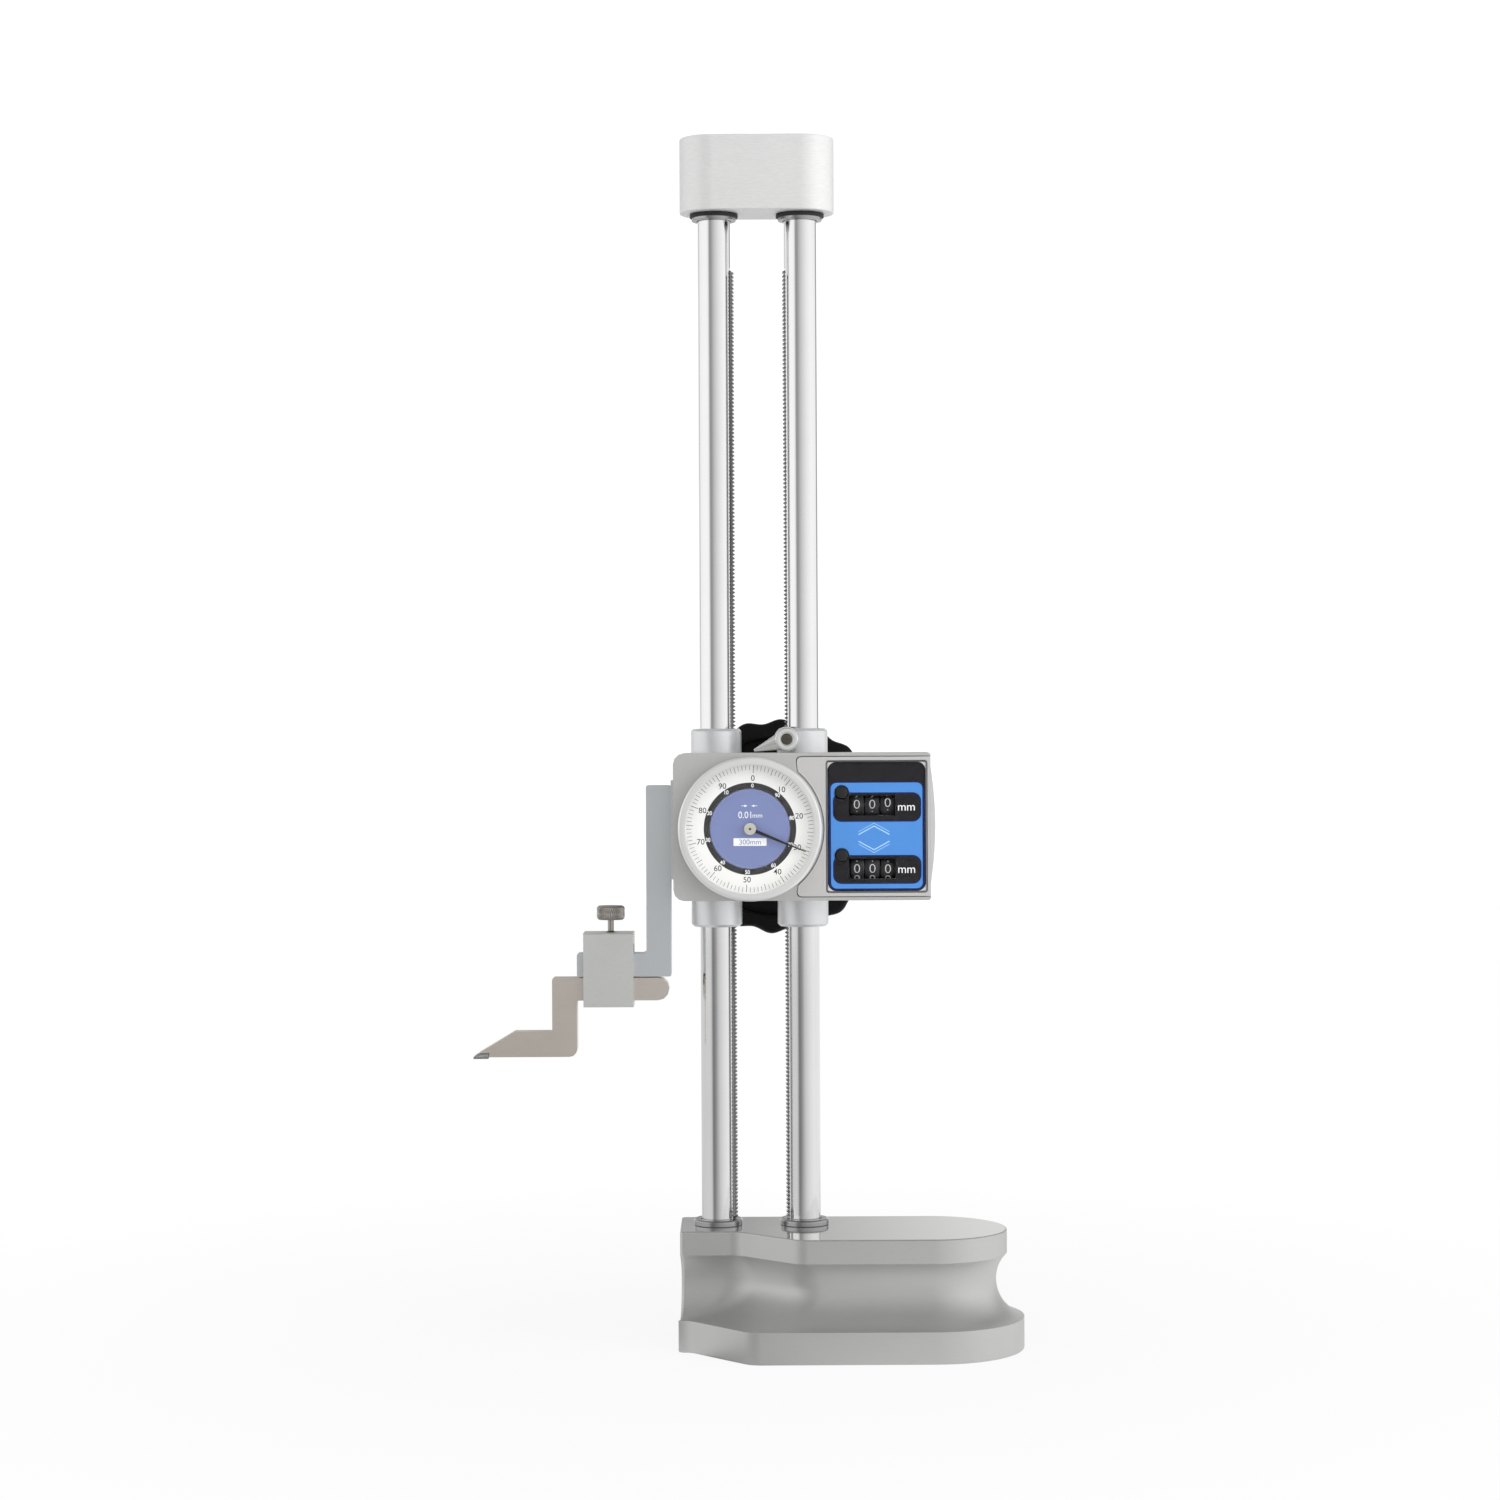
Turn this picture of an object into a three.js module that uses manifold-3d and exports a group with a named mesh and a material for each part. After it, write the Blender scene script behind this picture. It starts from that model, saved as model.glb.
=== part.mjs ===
// A height gauge with two columns, a dial and two mechanical counters.
// Millimetres, +Z up. The origin is on the floor, midway between the columns,
// +X runs to the right of the dial and +Y to the back.
import * as THREE from "three";
import { mergeVertices } from "three/addons/utils/BufferGeometryUtils.js";
import Module from "manifold-3d";

// Fits shared by all pieces
const fitGap = 0.3;
const overrun = 1;
const mergeGap = 0.0001;
const roundSides = 24;
const smallSides = 12;
const hubSides = 20;
const discSides = 36;
const boreSides = 32;
const wheelSides = 27;
const plateSides = 18;
const cornerSteps = 3;
const baseEndSteps = 7;
const baseMarkSteps = 5;
const bridgeSteps = 6;
const footGrooveSteps = 3;
const flangeGrooveSteps = 2;
const seamSteps = 12;
const bulgeSteps = 8;
const lobeSteps = 3;

// Columns
const columnRadius = 6.5;
const columnOffset = 17;
const columnSeat = 14.5;
const columnLength = 451;
const columnChamfer = 0.6;
const boltShankRadius = 3;
const boltHeadRadius = 5;
const boltHeadHeight = 5.5;
const boltReach = 11;

// Racks
const rackTopGap = 41.5;
const rackWidth = 4.8;
const rackSeat = 5;
const measuringPitch = 1.5;
const measuringPitchLine = 7.3;
const feedModule = 0.5;
const feedPitchLine = 6.6;
const rackTipShare = 0.333;
const rackRootShare = 0.4;
const pinionTipShare = 0.267;
const pinionRootShare = 0.48;
const gearTipShare = 0.22;
const gearRootShare = 0.4;

// Base casting
const baseHeight = 46.5;
const baseLeft = -31.8;
const baseEndX = 66.2;
const baseEndY = -11;
const topEndRadius = 29.8;
const topNoseY = -19.1;
const topNoseRight = -9.2;
const topSlantEnd = 14.4;
const footEndRadius = 36.5;
const footNoseY = -21.4;
const footNoseRight = -28.5;
const footSlantEnd = -4.5;
const waistLeft = -31.3;
const waistEndRadius = 25.5;
const waistNoseY = -15;
const waistNoseRight = -8;
const waistSlantEnd = 16;
const waistHeight = 27;
const waistGroove = 15;
const footEdgeHeight = 12.4;
const flangeEdgeHeight = 37.3;
const baseCornerRadius = 2;
const baseBoltFloor = 8;
const reliefDepth = 2;
const reliefMargin = 9;
const reliefLeft = 40;

// Collars, bumpers and bridge
const collarRadius = 9.7;
const collarHeight = 2.5;
const bumperRadius = 9.5;
const bumperHeight = 1.6;
const bumperRingRadius = 8.75;
const bumperRingHeight = 1.2;
const bridgeSocket = 20;
const bridgeHeight = 29.5;
const bridgeRadius = 13.5;
const bridgeEdge = 1;
const bridgeCounterbore = 6;

// Carriage: heights are measured from the dial's centre
const carriageHeight = 203.5;
const bossRadius = 10;
const bossUp = 38.8;
const bossDown = 39.2;
const bossEdge = 1;
const bossBoreRadius = 8.5;
const bushRadius = 8.2;
const bushLength = 14;
const bushSlot = 2.8;
const bushClampGap = 3.3;
const plateFront = -10;
const plateBack = -4.5;
const flangeBack = -2;
const flangeBulge = 2.8;
const trayDepth = 2.7;
const trayMargin = 1.2;
const webHalfWidth = 12;
const webDepth = 10;
const webUp = 26.5;
const webDown = 23.5;
const pocketHalfWidth = 10.4;
const pocketHalfDepth = 3.2;
const pocketUp = 10;
const pocketDown = 6.5;
const lugLeft = -35;
const lugRight = -25;
const lugFront = -4.2;
const lugBack = 5.2;
const lugUp = 18.5;
const lugDown = 20.5;

// Front cover
const coverLeft = -33.6;
const coverUp = 29.3;
const coverDown = 28;
const coverFront = -24;
const coverWall = 2;
const coverCorner = 4.2;
const coverSmallCorner = 1.2;
const coverLeastCorner = 0.3;

// Dial
const dialX = -3.8;
const bezelRadius = 27.9;
const bezelDepth = 6;
const bezelLip = 2.9;
const bezelLipRadius = bezelRadius - bezelLip;
const bezelLipDepth = 0.4;
const bezelEdge = 0.7;
const bezelWall = 2.3;
const crystalRadius = bezelRadius - bezelWall;
const crystalDepth = 1;
const dialRingWidth = 9.9;
const dialRingInner = crystalRadius - dialRingWidth;
const dialRingFront = -25.6;
const dialRingDepth = 0.8;
const centerDiscMargin = 0.3;
const centerDiscRadius = dialRingInner - centerDiscMargin;
const centerDiscDepth = 1.6;
const pointerAngle = 112.4;
const pointerTipMargin = 2.3;
const pointerLength = crystalRadius - pointerTipMargin;
const pointerRootWidth = 1.5;
const pointerTipWidth = 0.35;
const pointerThickness = 0.3;
const pointerBack = -27.1;
const pointerRingRadius = 2;
const pointerCapRadius = 2.4;
const pointerCapDepth = 0.5;

// Counters' place, right of the dial
const seamMargin = 1;
const seamRadius = bezelRadius + seamMargin;
const windowRim = 0.5;
const windowLeft = dialX + seamRadius + windowRim;
const coverRightOffset = 40.8;
const coverRight = windowLeft + coverRightOffset;
const hundredsOffset = 12.1;
const hundredsX = windowLeft + hundredsOffset;

// Gear train
const gearModule = 0.3;
const fineModule = 0.25;
const measuringTeeth = 16;
const measuringPinionHeight = 4.5;
const measuringGearTeeth = 48;
const counterPinionTeeth = 20;
const counterGearTeeth = 40;
const idlerPinionTeeth = 16;
const idlerGearTeeth = 48;
const pointerPinionTeeth = 12;
const feedTeeth = 14;
const feedPinionHeight = -1;
const rackPinionHalfWidth = 2.5;
const counterGearAngle = 24.31;
const gearWidth = 0.7;
const gearStep = 1.2;
const arborRadius = 0.8;
const arborSeat = 4.5;
const heavyArborRadius = 1;
const pointerArborRadius = 0.6;
const bevelTeeth = 12;
const bevelInnerShare = 0.667;

// Movement plate
const movementBack = -14.3;
const movementThickness = 0.9;
const pillarRadius = 1.3;
const movementEdge = 3;
const leftPillarX = -15;
const leftPillarHeight = 1.5;
const lowerPillarX = -4;
const lowerPillarHeight = -9;
const rightPillarX = 13;
const rightPillarHeight = 0.5;

// Counters
const counterAxisY = -15.5;
const upperCounterHeight = 8.7;
const lowerCounterHeight = -15.7;
const drumRadius = 7;
const drumWidth = 5.6;
const drumStep = 6;
const drumClearance = 0.7;
const transferOffset = 7.7;
const transferX = hundredsX - transferOffset;
const shaftEndOffset = 17.3;
const shaftEndX = hundredsX + shaftEndOffset;
const postX = 11.3;
const postWidth = 2;
const postHalfHeight = 2.2;
const frameThickness = 0.7;
const frameCheek = 1;
const frameHalfHeight = 4;
const frameOffset = 9.1;
const frameLeft = hundredsX - frameOffset;
const trayStep = 0.4;
const trayLeft = frameLeft - trayStep;
const transferLugWidth = 2.8;
const transferLugUp = 0.5;
const transferLugDown = 7.5;
const buttonStep = 5.9;
const buttonX = hundredsX - buttonStep;
const buttonOffset = 5.2;
const buttonRadius = 2.4;
const buttonFront = -24.9;
const buttonLength = 4.6;

// Counter cover, window and panel
const seamShoulder = 22.1;
const seamStep = 0.6;
const counterCoverFront = -24.2;
const counterCoverBack = -22;
const counterCoverMargin = 1.6;
const counterCoverCorner = 1.7;
const windowMargin = 1.3;
const windowRightMargin = 1;
const windowCorner = 1.2;
const ledgeThickness = 0.6;
const ledgeWidth = 1.4;
const panelThickness = 0.5;
const windowThickness = 0.6;
const sightHalfHeight = 3.9;
const sightMargin = 0.2;

// Clamp
const clampX = 10.7;
const clampHeight = 34.6;
const clampBossRadius = 4.9;
const clampBossFront = -11;
const clampHubRadius = 4.5;
const clampHubFront = -16;
const clampLeverThickness = 2;
const clampLeverLength = 13.5;
const clampLeverRoot = 2.6;
const clampLeverTip = 0.5;
const clampLeverDrop = 18.9;
const clampScrewRadius = 1.5;
const clampScrewHead = 2.25;
const clampScrewHeadDepth = 1.2;
const clampPadRadius = 1.8;
const clampPadFront = -6.2;
const clampPadBack = -2.75;

// Feed wheel
const feedShaftRadius = 2.5;
const feedWheelFront = 33;
const feedWheelWidth = 14;
const feedWheelPeak = 43.6;
const feedWheelTrough = 41.8;
const feedWheelLobes = 18;
const feedWheelPhase = 7;
const feedWheelRim = 6;
const feedWheelWeb = 4;
const feedWheelHub = 9;
const feedBushRadius = 4;
const feedBushFront = 6;
const feedBushLength = 10;
const feedScrewRadius = 1.5;
const feedScrewHead = 4;
const feedScrewHeadDepth = 2.5;
const feedScrewReach = 8;
const rearCoverThickness = 2;
const rearCoverLeft = -12;
const rearCoverRight = 15;
const rearCoverUp = 13.5;
const rearCoverDown = 15.5;
const rearCoverCorner = 2;

// Arm
const armFront = -4;
const armDepth = 9;
const armBarWidth = 9.8;
const armUp = 16.55;
const armDown = 58.75;
const armFootLength = 37.3;
const armFootHeight = 9.15;
const armFillet = 1.5;
const armCorner = 0.8;
const armScrewUp = 8.5;
const armScrewDown = -13.5;
const armScrewRadius = 2;
const armScrewHead = 3.5;
const armScrewHeadDepth = 4;
const armScrewReach = 11;

// Scriber and its clamp
const scriberHeight = 8.9;
const scriberRight = -35.9;
const scriberLeft = -82.1;
const scriberNeck = 9.8;
const scriberDrop = 90.25;
const scriberFootHeight = 9.85;
const scriberSlantX = -97.1;
const scriberTipX = -112.6;
const scriberTipHeight = 0.65;
const scriberGap = 0.45;
const scriberFillet = 3;
const scriberEndFlat = 0.1;
const carbideLeft = -113.2;
const carbideRight = -107.3;
const carbideHeight = 1.9;
const carbideDrop = 0.65;
const loopLeft = -69.6;
const loopWidth = 19.7;
const loopWallSide = 2.7;
const loopWallBottom = 2.2;
const loopTop = -41.4;
const loopTopWall = 4.6;
const thumbX = -59;
const thumbHeadRadius = 5.5;
const thumbHeadHeight = 5.5;
const thumbHeadRise = 4.95;
const thumbNeckRadius = 1.3;
const thumbNeckLength = 2.4;
const thumbThreadRadius = 2;

const wasm = await Module();
wasm.setup();

// Turns a closed three.js geometry into a solid whose faces point out.
function solidOf(geometry) {
  const plain = geometry.clone();
  plain.deleteAttribute("normal");
  plain.deleteAttribute("uv");
  const merged = mergeVertices(plain, mergeGap);
  const place = merged.attributes.position.array;
  const triangles = [];
  let volume = 0;
  for (let i = 0; i < merged.index.count; i += 3) {
    const [a, b, c] = [0, 1, 2].map((step) => merged.index.array[i + step]);
    if (a === b || b === c || c === a) {
      continue;
    }
    triangles.push(a, b, c);
    const [p, q, r] = [a, b, c].map((v) => new THREE.Vector3().fromArray(place, 3 * v));
    volume += p.dot(q.cross(r));
  }
  if (volume < 0) triangles.reverse();
  return new wasm.Manifold(new wasm.Mesh({
    numProp: 3,
    vertProperties: new Float32Array(place),
    triVerts: new Uint32Array(triangles),
  }));
}

function geometryOf(solid) {
  const mesh = solid.getMesh();
  const geometry = new THREE.BufferGeometry();
  geometry.setAttribute("position", new THREE.BufferAttribute(mesh.vertProperties, 3));
  geometry.setIndex(new THREE.BufferAttribute(mesh.triVerts, 1));
  geometry.computeVertexNormals();
  return geometry;
}

const join = (first, ...others) => others.reduce((whole, next) => whole.add(next), first);
const cut = (first, ...others) => others.reduce((whole, next) => whole.subtract(next), first);

// Carries a shape drawn in the plane square to an axis, and its depth, to the part's own axes:
// across z a shape is drawn in x and y, across y in x and z, and across x in y and z.
function layAlong(axis, geometry) {
  const x = new THREE.Vector3(1, 0, 0);
  const y = new THREE.Vector3(0, 1, 0);
  const z = new THREE.Vector3(0, 0, 1);
  const frame = new THREE.Matrix4();
  if (axis === "x") frame.makeBasis(y, z, x);
  if (axis === "y") frame.makeBasis(x, z, y);
  if (axis === "z") frame.makeBasis(x, y, z);
  return geometry.applyMatrix4(frame);
}

function box(left, right, front, back, bottom, top) {
  const geometry = new THREE.BoxGeometry(right - left, back - front, top - bottom);
  geometry.translate((left + right) / 2, (front + back) / 2, (bottom + top) / 2);
  return solidOf(geometry);
}

// A flat outline pulled along an axis; an edge rounds both rims.
function slab(axis, points, from, to, holes = [], edge = 0) {
  const shape = new THREE.Shape(points);
  shape.holes = holes.map((hole) => new THREE.Path(hole));
  const geometry = new THREE.ExtrudeGeometry(shape, {
    depth: to - from - 2 * edge,
    bevelEnabled: edge > 0,
    bevelThickness: edge,
    bevelSize: edge,
    bevelOffset: -edge,
    bevelSegments: 1,
  });
  geometry.translate(0, 0, from + edge);
  return solidOf(layAlong(axis, geometry));
}

// A turned piece: profile points are radius and place along the axis, and close by themselves.
function turned(axis, profile, across, up, sides = roundSides) {
  const closed = profile[0][0] > 0 ? [...profile, profile[0]] : profile;
  const points = closed.map(([radius, along]) => new THREE.Vector2(radius, along));
  const geometry = new THREE.LatheGeometry(points, sides);
  geometry.rotateX(Math.PI / 2);
  geometry.translate(across, up, 0);
  return solidOf(layAlong(axis, geometry));
}

function rod(axis, radius, from, to, across, up, sides = smallSides) {
  return turned(axis, [[0, from], [radius, from], [radius, to], [0, to]], across, up, sides);
}

function ring(axis, outer, inner, from, to, across, up, sides = roundSides) {
  const profile = [[inner, from], [outer, from], [outer, to], [inner, to]];
  return turned(axis, profile, across, up, sides);
}

// Points of a circle or lobed round.
function roundPoints(across, up, radiusAt, count, from = 0, to = 2 * Math.PI) {
  const points = [];
  for (let i = 0; i < count; i += 1) {
    const angle = from + ((to - from) * i) / count;
    const radius = radiusAt(angle);
    points.push(new THREE.Vector2(across + radius * Math.cos(angle), up + radius * Math.sin(angle)));
  }
  return points;
}

// An outline through corners [across, up, radius, steps], each rounded by an arc.
function rounded(corners) {
  const points = [];
  corners.forEach(([across, up, radius = 0, steps = cornerSteps], i) => {
    const corner = new THREE.Vector2(across, up);
    if (radius === 0) {
      points.push(corner);
      return;
    }
    const before = corners[(i + corners.length - 1) % corners.length];
    const after = corners[(i + 1) % corners.length];
    const back = new THREE.Vector2(before[0], before[1]).sub(corner).normalize();
    const ahead = new THREE.Vector2(after[0], after[1]).sub(corner).normalize();
    const half = Math.acos(THREE.MathUtils.clamp(back.dot(ahead), -1, 1)) / 2;
    const middle = back.clone().add(ahead).normalize();
    const centre = corner.clone().addScaledVector(middle, radius / Math.sin(half));
    const start = corner.clone().addScaledVector(back, radius / Math.tan(half)).sub(centre);
    const turn = -Math.sign(back.cross(ahead)) * (Math.PI - 2 * half);
    for (let step = 0; step <= steps; step += 1) {
      const spoke = start.clone().rotateAround(new THREE.Vector2(), (turn * step) / steps);
      const point = centre.clone().add(spoke);
      if (!points.length || points.at(-1).distanceTo(point) > mergeGap) points.push(point);
    }
  });
  return points;
}

function roundedBox(left, right, bottom, top, radius, steps = cornerSteps) {
  return rounded([
    [left, bottom, radius, steps],
    [right, bottom, radius, steps],
    [right, top, radius, steps],
    [left, top, radius, steps],
  ]);
}

// Stacks outlines with the same count of points into one solid.
function loft(levels) {
  const count = levels[0].points.length;
  const places = levels.flatMap(({ points, height }) => points.flatMap((p) => [p.x, p.y, height]));
  const faces = [];
  for (let level = 0; level + 1 < levels.length; level += 1) {
    for (let i = 0; i < count; i += 1) {
      const a = level * count + i;
      const b = level * count + ((i + 1) % count);
      faces.push(a, b, b + count, a, b + count, a + count);
    }
  }
  const last = (levels.length - 1) * count;
  for (const [a, b, c] of THREE.ShapeUtils.triangulateShape(levels[0].points, [])) faces.push(c, b, a);
  for (const [a, b, c] of THREE.ShapeUtils.triangulateShape(levels.at(-1).points, [])) {
    faces.push(last + a, last + b, last + c);
  }
  const geometry = new THREE.BufferGeometry();
  geometry.setAttribute("position", new THREE.Float32BufferAttribute(places, 3));
  geometry.setIndex(faces);
  return geometry;
}

// Teeth: two points each, a tip and a root.
function toothedPoints(across, up, teeth, pitchRadius, tip, root, toothAngle) {
  const points = [];
  for (let i = 0; i < teeth; i += 1) {
    const tipAngle = toothAngle + (2 * Math.PI * i) / teeth;
    const rootAngle = tipAngle + Math.PI / teeth;
    const tipRadius = pitchRadius + tip;
    const rootRadius = pitchRadius - root;
    for (const [angle, radius] of [[tipAngle, tipRadius], [rootAngle, rootRadius]]) {
      points.push(new THREE.Vector2(across + radius * Math.cos(angle), up + radius * Math.sin(angle)));
    }
  }
  return points;
}

function gear(place, teeth, module, toothAngle, from, to) {
  const pitch = Math.PI * module;
  const points = toothedPoints(
    place.x, place.z, teeth, (teeth * module) / 2, pitch * gearTipShare, pitch * gearRootShare, toothAngle);
  return slab("y", points, from, to);
}

function rackPinion(place, teeth, pitch, toothAngle) {
  const radius = (teeth * pitch) / (2 * Math.PI);
  const points = toothedPoints(
    place.x, place.z, teeth, radius, pitch * pinionTipShare, pitch * pinionRootShare, toothAngle);
  return slab("y", points, -rackPinionHalfWidth, rackPinionHalfWidth);
}

// The angle of a tooth of the second gear when the first has one at its own angle.
function meshedAngle(angle, teeth, nextTeeth, direction) {
  return direction + Math.PI + Math.PI / nextTeeth - ((angle - direction) * teeth) / nextTeeth;
}

// A straight bevel wheel on a mitre: its cone runs to the apex, its wide face lies one radius away.
function bevel(apex, axis, side, toothAngle) {
  const module = gearModule;
  const radius = (bevelTeeth * module) / 2;
  const pitch = Math.PI * module;
  const tip = pitch * gearTipShare;
  const root = pitch * gearRootShare;
  const ringAt = (scale) => ({
    height: side * radius * scale,
    points: toothedPoints(0, 0, bevelTeeth, radius * scale, tip * scale, root * scale, toothAngle),
  });
  const wide = ringAt(1);
  const narrow = ringAt(bevelInnerShare);
  const geometry = layAlong(axis, loft(side > 0 ? [narrow, wide] : [wide, narrow]));
  geometry.translate(apex.x, apex.y, apex.z);
  return solidOf(geometry);
}

const stand = new THREE.Group();
const carriage = new THREE.Group();
carriage.position.z = carriageHeight;

function finish(color, roughness, metalness) {
  return new THREE.MeshStandardMaterial({ color, roughness, metalness });
}

function addPiece(group, name, solid, material) {
  const mesh = new THREE.Mesh(geometryOf(solid), material);
  mesh.name = name;
  group.add(mesh);
}

const paint = () => finish(0x9a9c9c, 0.55, 0.1);
const chrome = () => finish(0xd8dadc, 0.12, 1);
const steel = () => finish(0xb0b2b4, 0.35, 1);
const darkSteel = () => finish(0x55575a, 0.4, 1);
const aluminium = () => finish(0xc4c6c6, 0.45, 0.8);
const brass = () => finish(0xb59a55, 0.35, 1);
const blackPlastic = () => finish(0x18181a, 0.45, 0);
const greyPlastic = () => finish(0xa9aaa4, 0.5, 0.1);

const columnTop = columnSeat + columnLength;
const bridgeBottom = columnTop - bridgeSocket;
const rackBottom = baseHeight + collarHeight + fitGap;
const rackTop = columnTop - rackTopGap;
const rackLength = rackTop - rackBottom;
const feedPitch = Math.PI * feedModule;

function column(side) {
  const x = side * columnOffset;
  const slim = columnRadius - columnChamfer;
  const body = turned("z", [
    [0, columnSeat],
    [slim, columnSeat],
    [columnRadius, columnSeat + columnChamfer],
    [columnRadius, columnTop - columnChamfer],
    [slim, columnTop],
    [0, columnTop],
  ], x, 0, roundSides);
  const floor = x - side * rackSeat;
  const open = x - side * (columnRadius + overrun);
  const half = rackWidth / 2 + fitGap;
  const groove = box(
    Math.min(floor, open), Math.max(floor, open), -half, half, rackBottom - fitGap, rackTop + fitGap);
  const holeRadius = boltShankRadius + fitGap;
  const depth = boltReach + fitGap;
  const lowHole = rod("z", holeRadius, columnSeat - overrun, columnSeat + depth, x, 0);
  const highHole = rod("z", holeRadius, columnTop - depth, columnTop + overrun, x, 0);
  return cut(body, groove, lowHole, highHole);
}

function rack(side, pitchLine, pitch) {
  const x = side * columnOffset;
  const back = x - side * rackSeat;
  const root = x - side * (pitchLine - pitch * rackRootShare);
  const tip = x - side * (pitchLine + pitch * rackTipShare);
  const points = [new THREE.Vector2(back, rackBottom), new THREE.Vector2(root, rackBottom)];
  for (let i = 0; i < Math.floor(rackLength / pitch); i += 1) {
    points.push(new THREE.Vector2(tip, rackBottom + (i + 1 / 2) * pitch));
    points.push(new THREE.Vector2(root, rackBottom + (i + 1) * pitch));
  }
  points.push(new THREE.Vector2(back, rackTop));
  return slab("y", points, -rackWidth / 2, rackWidth / 2);
}

const topLevel = {
  left: baseLeft,
  noseY: topNoseY,
  noseRight: topNoseRight,
  slantEnd: topSlantEnd,
  radius: topEndRadius,
};
const footLevel = {
  left: baseLeft,
  noseY: footNoseY,
  noseRight: footNoseRight,
  slantEnd: footSlantEnd,
  radius: footEndRadius,
};
const waistLevel = {
  left: waistLeft,
  noseY: waistNoseY,
  noseRight: waistNoseRight,
  slantEnd: waistSlantEnd,
  radius: waistEndRadius,
};

function blendLevels(from, to, share) {
  const level = {};
  for (const key of Object.keys(from)) level[key] = THREE.MathUtils.lerp(from[key], to[key], share);
  return level;
}

function baseOutline({ left, noseY, noseRight, slantEnd, radius }) {
  const right = baseEndX + radius;
  const front = baseEndY - radius;
  const back = baseEndY + radius;
  return rounded([
    [left, back, baseCornerRadius],
    [left, noseY, baseCornerRadius],
    [noseRight, noseY, baseCornerRadius],
    [slantEnd, front, baseCornerRadius],
    [right, front, radius, baseEndSteps],
    [right, back, radius, baseEndSteps],
  ]);
}

function baseCasting() {
  const footTurn = Math.asin((waistHeight - footEdgeHeight) / waistGroove);
  const flangeTurn = Math.asin((flangeEdgeHeight - waistHeight) / waistGroove);
  const grooveLevel = (edge, edgeTurn, side, share) => ({
    points: baseOutline(blendLevels(
      waistLevel, edge, (1 - Math.cos(edgeTurn * share)) / (1 - Math.cos(edgeTurn)))),
    height: waistHeight + side * waistGroove * Math.sin(edgeTurn * share),
  });
  const levels = [{ points: baseOutline(footLevel), height: 0 }];
  for (let step = footGrooveSteps; step > 0; step -= 1) {
    levels.push(grooveLevel(footLevel, footTurn, -1, step / footGrooveSteps));
  }
  for (let step = 0; step <= flangeGrooveSteps; step += 1) {
    levels.push(grooveLevel(topLevel, flangeTurn, 1, step / flangeGrooveSteps));
  }
  levels.push({ points: baseOutline(topLevel), height: baseHeight });
  let body = solidOf(loft(levels));
  for (const side of [-1, 1]) {
    const x = side * columnOffset;
    body = cut(
      body,
      rod("z", columnRadius + fitGap, columnSeat, baseHeight + overrun, x, 0, roundSides),
      rod("z", boltShankRadius + fitGap, baseBoltFloor - overrun, columnSeat + overrun, x, 0),
      rod("z", boltHeadRadius + fitGap, -overrun, baseBoltFloor, x, 0));
  }
  const reach = footEndRadius - reliefMargin;
  const relief = slab("z", rounded([
    [reliefLeft, baseEndY - reach, baseCornerRadius],
    [baseEndX + reach, baseEndY - reach, reach, baseMarkSteps],
    [baseEndX + reach, baseEndY + reach, reach, baseMarkSteps],
    [reliefLeft, baseEndY + reach, baseCornerRadius],
  ]), -overrun, reliefDepth);
  return cut(body, relief);
}

function bridge() {
  const reach = columnOffset + bridgeRadius;
  const top = bridgeBottom + bridgeHeight;
  const outline = roundedBox(-reach, reach, -bridgeRadius, bridgeRadius, bridgeRadius, bridgeSteps);
  let body = slab("z", outline, bridgeBottom, top, [], bridgeEdge);
  for (const side of [-1, 1]) {
    const x = side * columnOffset;
    body = cut(
      body,
      rod("z", columnRadius + fitGap, bridgeBottom - overrun, columnTop, x, 0, roundSides),
      rod("z", boltShankRadius + fitGap, columnTop - overrun, top, x, 0),
      rod("z", boltHeadRadius + fitGap, top - bridgeCounterbore, top + overrun, x, 0));
  }
  return body;
}

function capScrew(side, seat, headSide, reach) {
  const x = side * columnOffset;
  const headEnd = seat + headSide * boltHeadHeight;
  const tip = seat - headSide * reach;
  return turned("z", [
    [0, headEnd],
    [boltHeadRadius, headEnd],
    [boltHeadRadius, seat],
    [boltShankRadius, seat],
    [boltShankRadius, tip],
    [0, tip],
  ], x, 0, smallSides);
}

function bumper(side) {
  const hole = columnRadius + fitGap;
  const ringTop = bridgeBottom - bumperHeight;
  const ringBottom = ringTop - bumperRingHeight;
  return turned("z", [
    [hole, ringBottom],
    [bumperRingRadius, ringBottom],
    [bumperRingRadius, ringTop],
    [bumperRadius, ringTop],
    [bumperRadius, bridgeBottom],
    [hole, bridgeBottom],
  ], side * columnOffset, 0);
}

function collar(side) {
  return ring(
    "z", collarRadius, columnRadius + fitGap, baseHeight, baseHeight + collarHeight, side * columnOffset, 0);
}

const bridgeSeat = bridgeBottom + bridgeHeight - bridgeCounterbore;
addPiece(stand, "base_casting", baseCasting(), paint());
addPiece(stand, "top_bridge", bridge(), aluminium());
addPiece(stand, "measuring_rack", rack(-1, measuringPitchLine, measuringPitch), steel());
addPiece(stand, "feed_rack", rack(1, feedPitchLine, feedPitch), steel());
for (const [side, name] of [[-1, "left"], [1, "right"]]) {
  addPiece(stand, `${name}_column`, column(side), chrome());
  addPiece(stand, `${name}_base_collar`, collar(side), steel());
  addPiece(stand, `${name}_top_bumper`, bumper(side), blackPlastic());
  const baseReach = columnSeat - baseBoltFloor + boltReach;
  addPiece(stand, `${name}_base_bolt`, capScrew(side, baseBoltFloor, -1, baseReach), darkSteel());
  const bridgeReach = bridgeSeat - columnTop + boltReach;
  addPiece(stand, `${name}_bridge_screw`, capScrew(side, bridgeSeat, 1, bridgeReach), darkSteel());
}

// Places of the shafts that run front to back
const measuringRadius = (measuringTeeth * measuringPitch) / (2 * Math.PI);
const feedRadius = (feedTeeth * feedModule) / 2;
const place = (x, z) => ({ x, z });
const bearing = (from, to) => Math.atan2(to.z - from.z, to.x - from.x);

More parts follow.
